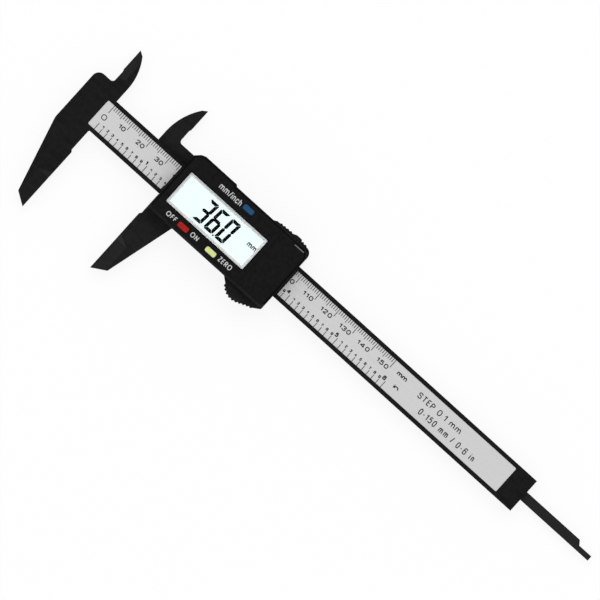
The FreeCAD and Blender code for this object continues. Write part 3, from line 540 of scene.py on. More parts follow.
@dataclass(frozen=True)
class Effect:
    """Surface effect that several finishes share, as one node group."""

    name: str
    inputs: tuple[str, ...]
    outputs: tuple[str, ...]
    wiring: Callable[[Bench, bpy.types.NodeOutputs], None]

    def group(self) -> bpy.types.NodeTree:
        """Builds the group once.

        Returns:
            The node group, new or as built before.
        """
        if self.name in bpy.data.node_groups:
            return bpy.data.node_groups[self.name]
        tree = bpy.data.node_groups.new(self.name, "ShaderNodeTree")
        for side, names in (("INPUT", self.inputs), ("OUTPUT", self.outputs)):
            for name in names:
                tree.interface.new_socket(name=name, in_out=side, socket_type="NodeSocketFloat")
        source = tree.nodes.new("NodeGroupInput")
        self.wiring(Bench(tree, tree.nodes.new("NodeGroupOutput")), source.outputs)
        return tree

    def on(self, bench: Bench, **values: float) -> bpy.types.NodeOutputs:
        """Places the effect in a material with its own values and returns its outputs."""
        return bench.add("Group", values, node_tree=self.group()).outputs


# Stretches over which an effect reads its pattern: where it starts to count and where it counts
# in full. The third and fourth number are the least and the most that it then counts.
PIT_SHADE = (0.25, 0.6)
LINE_SHADE = (0.25, 0.75)
OFF_LEVEL = (0.998, 0.93)  # upward part of the normal
OFF_UPRIGHT = (0.08, 0.45)  # upward part of the normal
# patches of scuffs and painted highlight on slopes
SCUFF_AND_HIGHLIGHT_PATCH = (0.3, 0.7, 0.55, 1.0)
BROAD_SMUDGE = (0.42, 0.68)
SMALL_SMUDGE = (0.3, 0.75)
SWELL_SCALE = 0.17  # of the swells under the grain, to the pits' scale
SMALL_SCALE = 6.0  # of small smudges, to the broad ones' scale


def wire_grain(bench: Bench, given: bpy.types.NodeOutputs) -> None:
    """Wires a spark-eroded texture: pits of one size with softer swells under them.

    Args:
        bench: bench of the group.
        given: the group's inputs.
    """
    place = bench.place()
    fine = bench.maths("DIVIDE", 1.0, given["Pitch"])
    pits = bench.add("TexVoronoi", {"Vector": place, "Scale": fine}, feature="SMOOTH_F1")
    swell = bench.noise(place, bench.product(fine, SWELL_SCALE))
    height = bench.maths("DIVIDE", bench.maths("ADD", pits.outputs["Distance"], swell), 2.0)
    bench.feed("Height", height)
    bench.feed("Shade", bench.ramp(height, *PIT_SHADE))


def wire_wear(bench: Bench, given: bpy.types.NodeOutputs) -> None:
    """Wires scuffs and a painted highlight on slopes, below a given Y: chamfers, ramps and
    rounded edges, patchy along their length.

    Args:
        bench: bench of the group.
        given: the group's inputs.
    """
    place = bench.place()
    facing = bench.maths("ABSOLUTE", bench.axis(bench.place("Normal"), "Z"))
    slope = bench.product(bench.ramp(facing, *OFF_LEVEL), bench.ramp(facing, *OFF_UPRIGHT))
    patch = bench.noise(place, bench.maths("DIVIDE", 1.0, given["Patch"]))
    # scuffs and painted highlight only below a given Y
    below_line = bench.maths("LESS_THAN", bench.axis(place, "Y"), given["Below"])
    rubbed = bench.product(slope, below_line, bench.ramp(patch, *SCUFF_AND_HIGHLIGHT_PATCH), given["Amount"])
    bench.feed("Slope", slope)
    bench.feed("Mask", rubbed)


def wire_handling(bench: Bench, given: bpy.types.NodeOutputs) -> None:
    """Wires faint smudges of handling: broad cloudy patches broken by small ones.

    Args:
        bench: bench of the group.
        given: the group's inputs.
    """
    place = bench.place()
    broad = bench.noise(place, bench.maths("DIVIDE", 1.0, given["Size"]), detail=3.0)
    small = bench.noise(place, bench.maths("DIVIDE", SMALL_SCALE, given["Size"]), detail=4.0)
    smudge = bench.product(bench.ramp(broad, *BROAD_SMUDGE), bench.ramp(small, *SMALL_SMUDGE))
    bench.feed("Mask", smudge)


def wire_lines(bench: Bench, given: bpy.types.NodeOutputs) -> None:
    """Wires lines left by rolling or drawing, long in X and fine across it.

    Args:
        bench: bench of the group.
        given: the group's inputs.
    """
    across = bench.maths("DIVIDE", 1.0, given["Pitch"])
    along = bench.maths("DIVIDE", across, given["Stretch"])
    scale = bench.add("CombineXYZ", {"X": along, "Y": across, "Z": across}).outputs[0]
    place = bench.add("VectorMath", {0: bench.place(), 1: scale}, operation="MULTIPLY")
    lines = bench.noise(place.outputs[0], 1.0, detail=3.0)
    bench.feed("Height", lines)
    bench.feed("Shade", bench.ramp(lines, *LINE_SHADE))


GRAIN = Effect("moulding_grain", ("Pitch",), ("Height", "Shade"), wire_grain)
# scuffs and a painted highlight that lighten slopes
SCUFF_AND_HIGHLIGHT = Effect("rubbed_edges", ("Amount", "Patch", "Below"), ("Slope", "Mask"), wire_wear)
HANDLING = Effect("handling_marks", ("Size",), ("Mask",), wire_handling)
LINES = Effect("drawn_lines", ("Pitch", "Stretch"), ("Height", "Shade"), wire_lines)


# ---- finishes


@dataclass(frozen=True)
class Finish:
    """What every finish has: a name, a colour and how it scatters light."""

    name: str
    colour: Colour
    roughness: float
    specular: float = 0.5

    def material(self) -> bpy.types.Material:
        """Makes the material and dresses its shader.

        Returns:
            The finished material.
        """
        made = bpy.data.materials.new(self.name)
        made.use_nodes = True
        made.diffuse_color = (*self.colour, 1.0)
        bench = Bench(made.node_tree, made.node_tree.nodes["Principled BSDF"])
        bench.feed("Base Color", self.colour)
        bench.feed("Roughness", self.roughness)
        bench.feed("Specular IOR Level", self.specular)
        self.dress(bench)
        return made

    def dress(self, bench: Bench) -> None:
        """Adds what makes this finish its own."""

    def relieve(self, bench: Bench, height: Socket, depth: float) -> None:
        """Gives the surface a fine relief, from a pattern of heights and a depth in mm."""
        bump = bench.add("Bump", {"Height": height, "Strength": 1.0, "Distance": depth * MM})
        bench.feed("Normal", bump.outputs["Normal"])

    def smudge(self, bench: Bench, size: float, change: float) -> None:
        """Lets the roughness change where the surface was handled, in smudges of a size in mm."""
        mask = HANDLING.on(bench, Size=size * MM)["Mask"]
        bench.feed("Roughness", bench.ramp(mask, 0.0, 1.0, self.roughness, self.roughness + change))


@dataclass(frozen=True)
class MouldedPlastic(Finish):
    """Injection moulding with an eroded texture; its slopes carry scuffs, a painted highlight
    and, where set, painted shade.

    A filled plastic, as of the beam and jaws, also has flow streaks along it.
    """

    # paler colour of slopes, for scuffs and a painted highlight; flow streaks pale towards it too
    rubbed: Colour = (0.03, 0.03, 0.031)
    pitch: float = 0.3  # mm
    depth: float = 0.012  # mm
    # how strongly slopes take scuffs and painted highlight
    wear: float = 1.0
    worn_below: float = 1000.0  # Y under which slopes take scuffs and painted highlight, mm
    patch: float = 9.0  # size of a patch of scuffs and painted highlight, mm
    shadow: float = 0.0  # painted shade: how much darker its slopes are
    mottle: float = 0.15  # how far the colour strays
    smudge_size: float = 18.0  # mm
    smudge_gloss: float = -0.08
    streak: float = 0.0  # how far flow streaks lighten it
    streak_pitch: float = 1.6  # mm
    streak_stretch: float = 9.0

    def dress(self, bench: Bench) -> None:
        """Adds grain, mottling, painted shade and scuffs with painted highlight on slopes, flow
        streaks and handling.

        Args:
            bench: bench of the material.
        """
        grain = GRAIN.on(bench, Pitch=self.pitch * MM)
        slope_marks = SCUFF_AND_HIGHLIGHT.on(
            bench, Amount=self.wear, Patch=self.patch * MM, Below=self.worn_below * MM
        )
        dark, light = shaded(self.colour, 1 - self.mottle), shaded(self.colour, 1 + self.mottle)
        body = bench.blend(grain["Shade"], dark, light)
        # painted shade darkens the slopes towards black
        body = bench.blend(bench.product(slope_marks["Slope"], self.shadow), body, BLACK)
        # scuffs and painted highlight lighten the slopes
        body = bench.blend(slope_marks["Mask"], body, self.rubbed)
        if self.streak:
            lines = LINES.on(bench, Pitch=self.streak_pitch * MM, Stretch=self.streak_stretch)
            body = bench.blend(bench.product(lines["Shade"], self.streak), body, self.rubbed)
        bench.feed("Base Color", body)
        self.relieve(bench, grain["Height"], self.depth)
        self.smudge(bench, self.smudge_size, self.smudge_gloss)


@dataclass(frozen=True)
class DrawnMetal(Finish):
    """Metal strip, rod or can with lines from its making."""

    pitch: float = 0.12  # mm
    stretch: float = 25.0
    depth: float = 0.003  # mm
    tarnish: float = 0.75  # darker share in the lines
    metallic: float = 1.0
    stain: float = 8.0  # mm
    stain_dull: float = 0.12

    def dress(self, bench: Bench) -> None:
        """Adds drawn lines, and stains that change the gloss.

        Args:
            bench: bench of the material.
        """
        bench.feed("Metallic", self.metallic)
        lines = LINES.on(bench, Pitch=self.pitch * MM, Stretch=self.stretch)
        dark = shaded(self.colour, self.tarnish)
        bench.feed("Base Color", bench.blend(lines["Shade"], dark, self.colour))
        self.relieve(bench, lines["Height"], self.depth)
        self.smudge(bench, self.stain, self.stain_dull)


@dataclass(frozen=True)
class SatinFilm(Finish):
    """Silvered film with a fine satin face."""

    metallic: float = 0.45
    pitch: float = 0.09  # mm
    depth: float = 0.002  # mm
    mottle: float = 0.03
    sheen_pitch: float = 0.5  # mm
    sheen_stretch: float = 40.0
    sheen: float = 0.6  # lengthwise share of the mottling; the grain has the rest
    smudge_size: float = 25.0  # mm
    smudge_dull: float = 0.08

    def dress(self, bench: Bench) -> None:
        """Adds satin grain, a slight lengthwise sheen and handling.

        Args:
            bench: bench of the material.
        """
        bench.feed("Metallic", self.metallic)
        lines = LINES.on(bench, Pitch=self.sheen_pitch * MM, Stretch=self.sheen_stretch)
        grain = GRAIN.on(bench, Pitch=self.pitch * MM)
        dark, light = shaded(self.colour, 1 - self.mottle), shaded(self.colour, 1 + self.mottle)
        sheen = bench.product(lines["Shade"], self.sheen)
        mix = bench.maths("ADD", sheen, bench.product(grain["Shade"], 1 - self.sheen))
        bench.feed("Base Color", bench.blend(mix, dark, light))
        self.relieve(bench, grain["Height"], self.depth)
        self.smudge(bench, self.smudge_size, self.smudge_dull)


@dataclass(frozen=True)
class ClearSheet(Finish):
    """Clear or tinted window, glass or film."""

    ior: float = 1.49
    gloss: float = 1.0  # share of the reflection that a coating leaves
    smudge_size: float = 14.0  # mm
    haze: float = 0.01  # extra roughness where it is smudged

    def dress(self, bench: Bench) -> None:
        """Adds transmission and faint smudges.

        Args:
            bench: bench of the material.
        """
        bench.feed("Transmission Weight", 1.0)
        bench.feed("IOR", self.ior)
        bench.feed("Specular Tint", shaded(WHITE, self.gloss))
        self.smudge(bench, self.smudge_size, self.haze)


@dataclass(frozen=True)
class DisplayFilm(Finish):
    """Pale face of the LCD cell, its silky reflector showing through, with a painted glow."""

    tint: Colour = (0.82, 0.97, 0.97)
    lift: float = 0.2  # painted glow: the film's emission strength
    pitch: float = 0.25  # mm
    stretch: float = 14.0
    streak: float = 0.12  # share of the tint in the streaks
    depth: float = 0.001  # mm

    def dress(self, bench: Bench) -> None:
        """Adds the reflector's silky streaks, fine grain and a painted glow.

        Args:
            bench: bench of the material.
        """
        lines = LINES.on(bench, Pitch=self.pitch * MM, Stretch=self.stretch)
        share = bench.product(lines["Shade"], self.streak)
        colour = bench.blend(share, self.colour, self.tint)
        bench.feed("Base Color", colour)
        # painted glow: the film emits its own colour
        bench.feed("Emission Color", colour)
        bench.feed("Emission Strength", self.lift)
        self.relieve(bench, lines["Height"], self.depth)


@dataclass(frozen=True)
class SolderMask(Finish):
    """Glass-fibre board under green mask, with copper tracks and tinned pads."""

    track: Colour = (0.035, 0.15, 0.06)
    tin: Colour = (0.55, 0.55, 0.53)
    track_pitch: float = 0.9  # mm
    track_length: float = 6.0  # in pitches
    track_gap: float = 0.16  # mm
    track_soft: float = 0.2
    track_edge: tuple[float, float] = (0.3, 0.7)
    pad_pitch: float = 2.4  # mm
    pad_stray: float = 0.55
    pad_edge: tuple[float, float] = (0.2, 0.16)
    pad_rise: float = 1.5  # height of a pad, to a track's
    weave: float = 0.5  # mm
    weave_shade: float = 0.86
    depth: float = 0.02  # mm

    def dress(self, bench: Bench) -> None:
        """Adds tracks, pads and the weave under the mask.

        Args:
            bench: bench of the material.
        """
        place = bench.place()
        bands = bench.add("TexBrick", {
            "Vector": place, "Scale": 1.0, "Mortar Size": self.track_gap * MM,
            "Mortar Smooth": self.track_soft, "Brick Width": self.track_length * self.track_pitch * MM,
            "Row Height": self.track_pitch * MM,
        })
        tracks = bench.ramp(bands.outputs["Fac"], *self.track_edge)
        scatter = {
            "Vector": place, "Scale": 1 / (self.pad_pitch * MM), "Randomness": self.pad_stray
        }
        dots = bench.add("TexVoronoi", scatter, feature="F1")
        pads = bench.ramp(dots.outputs["Distance"], *self.pad_edge)
        squares = bench.add("TexChecker", {"Vector": place, "Scale": 1 / (self.weave * MM)})
        dark = shaded(self.colour, self.weave_shade)
        mask = bench.blend(squares.outputs["Fac"], self.colour, dark)
        mask = bench.blend(tracks, mask, self.track)
        bench.feed("Base Color", bench.blend(pads, mask, self.tin))
        bench.feed("Metallic", pads)
        height = bench.maths("ADD", tracks, bench.product(pads, self.pad_rise))
        self.relieve(bench, height, self.depth)


@dataclass(frozen=True)
class LayeredRubber(Finish):
    """Elastomer strip of alternate conducting and plain layers."""

    layer: float = 0.18  # mm
    dark: Colour = (0.02, 0.02, 0.021)
    pitch: float = 0.08  # mm
    depth: float = 0.004  # mm

    def dress(self, bench: Bench) -> None:
        """Adds the layers across the strip and a fine matt grain.

        Args:
            bench: bench of the material.
        """
        pair = 2 * self.layer * MM
        phase = bench.maths("FRACT", bench.maths("DIVIDE", bench.axis(bench.place(), "X"), pair))
        stripe = bench.maths("GREATER_THAN", phase, 0.5)
        bench.feed("Base Color", bench.blend(stripe, self.colour, self.dark))
        self.relieve(bench, GRAIN.on(bench, Pitch=self.pitch * MM)["Height"], self.depth)


@dataclass(frozen=True)
class FiredBody(Finish):
    """Ceramic parts with tinned ends."""

    tin: Colour = (0.6, 0.6, 0.58)
    speck: float = 0.15  # mm
    speck_edge: tuple[float, float] = (0.45, 0.6)
    speck_shade: float = 0.8
    end_edge: tuple[float, float] = (0.8, 0.95)  # of the normal's part along X
    depth: float = 0.004  # mm

    def dress(self, bench: Bench) -> None:
        """Adds specks in the ceramic and tin on the faces that look along X.

        Args:
            bench: bench of the material.
        """
        specks = bench.noise(bench.place(), 1 / (self.speck * MM), detail=4.0)
        pale = bench.ramp(specks, *self.speck_edge)
        body = bench.blend(pale, shaded(self.colour, self.speck_shade), self.colour)
        along = bench.maths("ABSOLUTE", bench.axis(bench.place("Normal"), "X"))
        end = bench.ramp(along, *self.end_edge)
        bench.feed("Base Color", bench.blend(end, body, self.tin))
        bench.feed("Metallic", end)
        self.relieve(bench, specks, self.depth)


@dataclass(frozen=True)
class PrintedInk(Finish):
    """Screen-printed ink, slightly uneven in cover and gloss."""

    thin: float = 1.25  # share of the colour where the ink is thin
    spot: float = 0.35  # size of a thin spot, mm
    spot_edge: tuple[float, float] = (0.4, 0.7)
    depth: float = 0.002  # mm

    def dress(self, bench: Bench) -> None:
        """Adds thin spots in the cover and the mesh's faint texture.

        Args:
            bench: bench of the material.
        """
        spots = bench.noise(bench.place(), 1 / (self.spot * MM), detail=3.0)
        cover = bench.ramp(spots, *self.spot_edge)
        colour = bench.blend(cover, self.colour, shaded(self.colour, self.thin))
        bench.feed("Base Color", colour)
        self.relieve(bench, cover, self.depth)


# Its slopes are darkened as painted shade; below Y -13 mm scuffs and a painted highlight lighten them.
CASE_BLACK = MouldedPlastic(
    "case_black", (0.0064, 0.0064, 0.0066), 0.55, 0.05,
    wear=0.5, worn_below=-13.0, shadow=0.9, mottle=0.4,
)
# Scuffs and a painted highlight lighten its slopes, as on the jaws' ramps.
BEAM_BLACK = MouldedPlastic(
    "beam_black", (0.0068, 0.0068, 0.0070), 0.5, 0.05, wear=0.45, mottle=0.35, streak=0.12
)
# Partly painted light: lighter than the beam's black, against the shade near the case. Slopes take
# scuffs and painted highlight.
SLIDER_BLACK = MouldedPlastic(
    "slider_black", (0.0095, 0.0095, 0.0097), 0.5, 0.05, wear=0.9, mottle=0.35, streak=0.18
)
SLOT_FINISHES: dict[str, Finish] = {
    "label_film": SatinFilm("label_satin", (0.634, 0.634, 0.638), 0.45),
    "laminate": SolderMask("board_mask", (0.02, 0.09, 0.035), 0.35),
    "black_steel": DrawnMetal(
        "rod_black", (0.018, 0.018, 0.019), 0.45, 0.1, pitch=0.3, metallic=0.3
    ),
    "screw_steel": DrawnMetal("screw_blackened", (0.13, 0.13, 0.135), 0.38, stretch=1.5),
    "spring_steel": DrawnMetal("spring_bright", (0.62, 0.62, 0.63), 0.25),
    "gib_brass": DrawnMetal("gib_rolled_brass", (0.68, 0.50, 0.22), 0.3),
    # Slopes of the mouldings below pale towards a second colour: scuffs and a painted highlight.
    "chip_resin": MouldedPlastic(
        "chip_resin_drop", (0.012, 0.012, 0.013), 0.22, 0.5, pitch=1.2, depth=0.004, wear=0.2
    ),
    "component_body": FiredBody("component_ceramic", (0.52, 0.44, 0.3), 0.4),
    "elastomer": LayeredRubber("layered_rubber", (0.42, 0.40, 0.42), 0.7),
    "holder_plastic": MouldedPlastic(
        "holder_white", (0.72, 0.72, 0.69), 0.5, rubbed=(0.8, 0.8, 0.78), mottle=0.04
    ),
    "reflector_film": SatinFilm("reflector_silver", (0.78, 0.8, 0.8), 0.35, metallic=0.8),
    "display_glass": ClearSheet("display_glass_clear", (0.92, 0.98, 0.97), 0.02, ior=1.52),
    # lift gives the film a painted glow
    "polariser_film": DisplayFilm("polariser_pale", (0.87, 1.0, 1.0), 0.6, 0.1, lift=0.32),
    "bezel_plastic": MouldedPlastic(
        "bezel_pale", (0.94, 0.95, 0.95), 0.5, 0.1, rubbed=(0.96, 0.96, 0.96), mottle=0.02
    ),
    "window_plastic": ClearSheet("window_acrylic", WHITE, 0.01, 0.06, gloss=0.12),
    "blue_plastic": MouldedPlastic(
        "button_blue", (0.0165, 0.077, 0.172), 0.4, 0.08, rubbed=(0.02, 0.09, 0.2), depth=0.004
    ),
    "red_plastic": MouldedPlastic(
        "button_red", (0.40, 0.0135, 0.0105), 0.4, 0.08, rubbed=(0.45, 0.03, 0.022), depth=0.004
    ),
    "yellow_plastic": MouldedPlastic(
        "button_yellow", (0.67, 0.71, 0.28), 0.4, 0.08, rubbed=(0.74, 0.78, 0.45), depth=0.004
    ),
    "cell_can": DrawnMetal("cell_nickel", (0.66, 0.66, 0.64), 0.28, stretch=3.0),
}
SCALE_INK = PrintedInk("scale_ink", (0.035, 0.035, 0.037), 0.55, 0.2)
LEGEND_INK = PrintedInk("legend_ink", (0.68, 0.68, 0.68), 0.5, thin=0.9)
SEGMENT_INK = PrintedInk("segment_ink", (0.0, 0.001, 0.001), 0.6, 0.0)
UNIT_INK = PrintedInk("segment_unit_ink", (0.05, 0.06, 0.06), 0.6, 0.0)
# painted highlight: a pale grey dash in the battery cover's nick
NICK_HIGHLIGHT = PrintedInk("nick_paint", (0.16, 0.16, 0.165), 0.5)


# ---- sub-assemblies


@dataclass(frozen=True)
class Figures:
    """Figures of one kind on the label, each at the left of its graduation."""

    stroke: float
    spacing: float
    bottom: float
    height: float
    width: float  # of a plain digit
    gap: float  # from the graduation

    def printed(self, number: int, graduation: float) -> Piece:
        """Prints one figure.

        Args:
            number: what is printed.
            graduation: X of its graduation, mm.

        Returns:
            The figure in its place, standing on z 0.
        """
        face, digits = Lettering(self.stroke, self.spacing), str(number)
        gaps = self.spacing * (self.height - self.stroke) * (len(digits) - 1)
        length = self.stroke + gaps + (self.width - self.stroke) * face.widths(digits)
        right = graduation - self.gap
        span = Span(right - length, self.bottom, right, self.bottom + self.height)
        return face.made(f"figure_{digits}", digits, span)


@dataclass(frozen=True)
class ScalePrint:
    """Graduations and figures on the beam's label."""

    zero: float = 0.5  # first graduation from the fixed jaw's face
    last_mm: int = 150
    last_inch: int = 6
    stroke: float = 0.29  # width of a graduation
    mm_ticks: tuple[tuple[int, float], ...] = ((10, 3.8), (5, 2.5), (1, 1.8))
    inch_ticks: tuple[tuple[int, float], ...] = ((10, 3.1), (1, 2.1))

    two_digits: Figures = Figures(0.42, 0.47, 0.63, 1.95, 1.85, 0.44)
    three_digits: Figures = Figures(0.42, 0.58, 0.63, 1.95, 1.85, 0.44)
    whole_inches: Figures = Figures(0.5, 0.42, -3.09, 1.85, 1.5, 0.42)
    hundred: int = 100  # from here on a figure has three digits

    zero_size: float = 2.3
    zero_stroke: float = 0.35
    zero_corner: float = 0.85
    zero_steps: int = 4  # facets of its corner
    zero_shift: tuple[float, float] = (-0.08, -0.08)

    tenth_stroke: float = 0.32
    tenth_bottom: float = -3.74
    tenth_height: float = 1.2
    tenth_width: float = 1.05
    tenth_reach: float = 0.13  # how far a tenth's figure reaches past its graduation

    line_stroke: float = 0.42
    unit_stroke: float = 0.48
    unit_spacing: float = 0.34
    units: tuple[tuple[str, Span], ...] = (
        ("mm", Span(154.08, 1.95, 159.08, 3.55)),
        ("in", Span(156.5, -2.9, 159.0, -1.05)),
    )
    lines: tuple[tuple[str, Span], ...] = (
        ("STEP 0.1 mm", Span(166.1, 0.8, 188.6, 3.4)),
        ("0-150 mm / 0-6 in", Span(170.6, -3.9, 199.7, -1.1)),
    )

    def graduations(
        self, name: str, edge: Hang, pitch: float, last: int, ticks: tuple[tuple[int, float], ...]
    ) -> Piece:
        """Prints a row of graduations, copied along an edge of the label.

        Args:
            name: name of the row.
            edge: edge of the label that it starts from.
            pitch: from one graduation to the next, mm.
            last: number of the last graduation.
            ticks: how many graduations apart and how long, mm, the longest first.

        Returns:
            The row as one piece.
        """
        rim = high("scale_label").y if edge is Hang.TOP else low("scale_label").y
        row, bare = [], list(range(last + 1))
        for every, length in ticks:
            bar = Bar(self.stroke, length, self.stroke * MARK_CORNER, PRINT).made(f"mark_{every}")
            y = rim + edge.value * length / 2
            row += copies(bar, [moved(self.zero + n * pitch, y) for n in bare if n % every == 0])
            bare = [n for n in bare if n % every]
        return joined(name, row)

    def millimetre_figures(self) -> Piece:
        """Prints 10, 20 and so on, each beside its graduation.

        Returns:
            All of them as one piece.
        """
        figures = []
        for value in range(10, self.last_mm + 1, 10):
            kind = self.two_digits if value < self.hundred else self.three_digits
            figures.append(kind.printed(value, self.zero + value))
        return joined("millimetre_figures", figures)

    def inch_figures(self) -> Piece:
        """Prints the tenths' small figures and the whole inches' larger ones.

        Returns:
            All of them as one piece.
        """
        face = Lettering(self.tenth_stroke)
        figures = []
        top = self.tenth_bottom + self.tenth_height
        for tenth in range(1, 10):
            right = self.zero + INCH * tenth / 10 + self.tenth_reach
            span = Span(right - self.tenth_width, self.tenth_bottom, right, top)
            digit = face.made(f"tenth_{tenth}", str(tenth), span)
            figures += copies(digit, [moved(INCH * n, 0) for n in range(self.last_inch)])
        for inch in range(1, self.last_inch + 1):
            figures.append(self.whole_inches.printed(inch, self.zero + INCH * inch))
        return joined("inch_figures", figures)

    def marks(self) -> Piece:
        """Prints the zero, the units and the two lines on range and step.

        Returns:
            All of them as one piece.
        """
        size = self.zero_size
        ring = Bar(size, size, self.zero_corner, PRINT, self.zero_steps, self.zero_stroke)
        zero = ring.made("zero_figure")
        across, up = self.zero_shift
        zero.data.transform(moved(self.zero + across, up))
        face = Lettering(self.unit_stroke, self.unit_spacing)
        words = [face.made("unit", text, span) for text, span in self.units]
        face = Lettering(self.line_stroke)
        words += [face.made("line", text, span) for text, span in self.lines]
        return joined("scale_markings", [zero, *words])

    def build(self) -> None:
        """Prints the whole label and puts it on the beam."""
        ink, top = SCALE_INK.material(), high("scale_label").z
        rows = (
            ("millimetre_graduations", Hang.TOP, 1.0, self.last_mm, self.mm_ticks),
            ("inch_graduations", Hang.BOTTOM, INCH / 10, self.last_inch * 10, self.inch_ticks),
        )
        prints = [self.graduations(*row) for row in rows]
        prints += [self.millimetre_figures(), self.inch_figures(), self.marks()]
        for piece in prints:
            seated(piece, Body.BEAM, top, ink)


@dataclass(frozen=True)
class Legend:
    """One white word beside a button."""

    name: str
    text: str
    button: str
    gap: float  # from the button's side; less than 0 on its left
    length: float
    bottom: float
    top: float
    stroke: float
    spacing: float

    def span(self) -> Span:
        """Finds the rectangle that the word's ink fills."""
        start = low(self.button).x - self.length if self.gap < 0 else high(self.button).x
        return Span(start + self.gap, self.bottom, start + self.gap + self.length, self.top)


@dataclass(frozen=True)
class Legends:
    """White words on the display cover."""

    words: tuple[Legend, ...] = (
        Legend("unit_legend", "mm/inch", "unit_button", -0.46, 11.35, 9.53, 12.33, 0.41, 0.28),
        Legend("off_legend", "OFF", "power_button", -0.68, 5.1, -12.28, -10.15, 0.4, 0.43),
        Legend("on_legend", "ON", "power_button", 0.93, 3.75, -12.17, -9.98, 0.39, 0.41),
        Legend("zero_legend", "ZERO", "zero_button", 1.02, 6.6, -12.05, -9.82, 0.41, 0.4),
    )

    def build(self) -> None:
        """Prints the four words."""
        ink = LEGEND_INK.material()
        for word in self.words:
            face = Lettering(word.stroke, word.spacing)
            piece = face.made(word.name, word.text, word.span())
            seated(piece, Body.SLIDER, high("display_cover").z, ink)


@dataclass(frozen=True)
class Window:
    """Clear window over the display, clear of the bezel that it is fixed to by its rim."""

    lift: float = 0.04  # over the bezel
    side_gap: float = 0.02  # to the case
    corner: float = 0.45
    edge: float = 0.12  # chamfer round the face

    def build(self) -> None:
        """Models the pane and puts it in place of the frame's own, with that one's finish."""
        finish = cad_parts["display_lens"].material_slots[0].material
        least, most = low("display_lens"), high("display_lens")
        size, centre = most - least, (least + most) / 2
        pane = Bar(
            size.x - 2 * self.side_gap, size.y - 2 * self.side_gap, self.corner,
            size.z - self.lift - self.edge, 1,
        ).made("display_window")
        draw_in_top(pane, self.edge, self.edge)
        pane.data.transform(moved(centre.x, centre.y))
        seated(pane, Body.SLIDER, least.z + self.lift, finish)
        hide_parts("display_lens")


class Mitre(Enum):
    """Ends of a segment that meet a corner of its figure."""

    NEITHER = ()
    LOWER = (-1,)
    UPPER = (1,)
    BOTH = (-1, 1)


@dataclass(frozen=True)
class Reading:
    """Seven-segment reading on the display, with its unit."""

    figures: tuple[tuple[str, float], ...] = (("3", 11.7), ("6", 17.6), ("0", 23.34))
    bottom: float = -6.08
    width: float = 4.68  # of a figure
    height: float = 10.6
    stroke: float = 1.38
    gap: float = 0.07  # between neighbouring segments
    corner: float = 0.5  # cut off a pointed end and off the outer corner of a mitred one
    slant: float = 0.093  # lean of the figures, as a slope
    dot_size: float = 0.72
    dot_place: tuple[float, float] = (22.86, 0.24)
    unit: Span = Span(35.15, 0.05, 39.55, 1.85)
    unit_face: Lettering = Lettering(0.42, 0.3)

    SHAPES = {"0": "abcdef", "3": "abcdg", "6": "acdefg"}

    def segment(self, name: str, length: float, mitre: Mitre) -> Piece:
        """Models one segment, long in Y, whose outer side looks towards -X.

        Args:
            name: name of the segment.
            length: length of its outer side, mm.
            mitre: ends that are cut back on the inner side; the others are pointed.

        Returns:
            The segment, centred on the origin.
        """
        piece = flat_blank(name, self.stroke, length)
        tip = length / 2 - HAIR
        with shaping(piece, Pick.VERT):
            for end in (-1, 1):
                if end in mitre.value:
                    pick(piece, Pick.VERT, lambda spot: spot.co.y * end > tip and spot.co.x > 0)
                    bpy.ops.transform.translate(value=(0, -end * self.stroke, 0))
                pick(piece, Pick.VERT, lambda spot: spot.co.y * end > tip)
                bpy.ops.mesh.bevel(offset=self.corner, affect="VERTICES")
        thicken(piece, PRINT)
        return piece

    def segments(self) -> dict[str, Piece]:
        """Models every segment of a figure, from four patterns.

        Returns:
            The segments by letter, each in its place in a figure that stands upright.
        """
        upright = self.height / 2 - 1.5 * self.gap
        level = self.width - 2 * self.gap
        middle = self.width - self.stroke - self.gap
        across, up = self.width / 2, self.height / 2
        reach, rise = across - self.stroke / 2, up - self.stroke / 2
        mid = (upright + self.gap) / 2
        patterns = (
            ("upper", upright, Mitre.UPPER, {"f": (-reach, mid, 0), "c": (reach, -mid, 2)}),
            ("lower", upright, Mitre.LOWER, {"e": (-reach, -mid, 0), "b": (reach, mid, 2)}),
            ("level", level, Mitre.BOTH, {"a": (0, rise, -1), "d": (0, -rise, 1)}),
            ("middle", middle, Mitre.NEITHER, {"g": (0, 0, 1)}),
        )
        made = {}
        for name, length, mitre, spots in patterns:
            pattern = self.segment(f"{name}_segment", length, mitre)
            places = [
                moved(x + across, y + up) @ Matrix.Rotation(quarters * math.pi / 2, 4, "Z")
                for x, y, quarters in spots.values()
            ]
            made.update(zip(spots, copies(pattern, places)))
        return made

    def figure(self, shape: str, left: float) -> Piece:
        """Builds one figure from its segments.

        Args:
            shape: the figure.
            left: X of its lower left corner, mm.

        Returns:
            The figure, slanted and in place.
        """
        made = self.segments()
        for letter in set(made) - set(self.SHAPES[shape]):
            bpy.data.objects.remove(made.pop(letter))
        whole = joined(f"figure_{shape}", list(made.values()))
        lean = Matrix.Identity(4)
        lean[0][1] = self.slant
        whole.data.transform(moved(left, self.bottom) @ lean)
        return whole

    def build(self) -> None:
        """Sets the reading and its unit under the window."""
        left, surface = low("display_lens").x, high("lcd_polariser").z
        pieces = [self.figure(shape, left + start) for shape, start in self.figures]
        size = self.dot_size
        dot = Bar(size, size, size * MARK_CORNER, PRINT).made("point")
        across, up = self.dot_place
        dot.data.transform(moved(left + across, self.bottom + up))
        reading = joined("display_reading", [*pieces, dot])
        seated(reading, Body.SLIDER, surface, SEGMENT_INK.material())
        spot = Span(left + self.unit.left, self.unit.bottom, left + self.unit.right, self.unit.top)
        unit = self.unit_face.made("display_unit", "mm", spot)
        seated(unit, Body.SLIDER, surface, UNIT_INK.material())


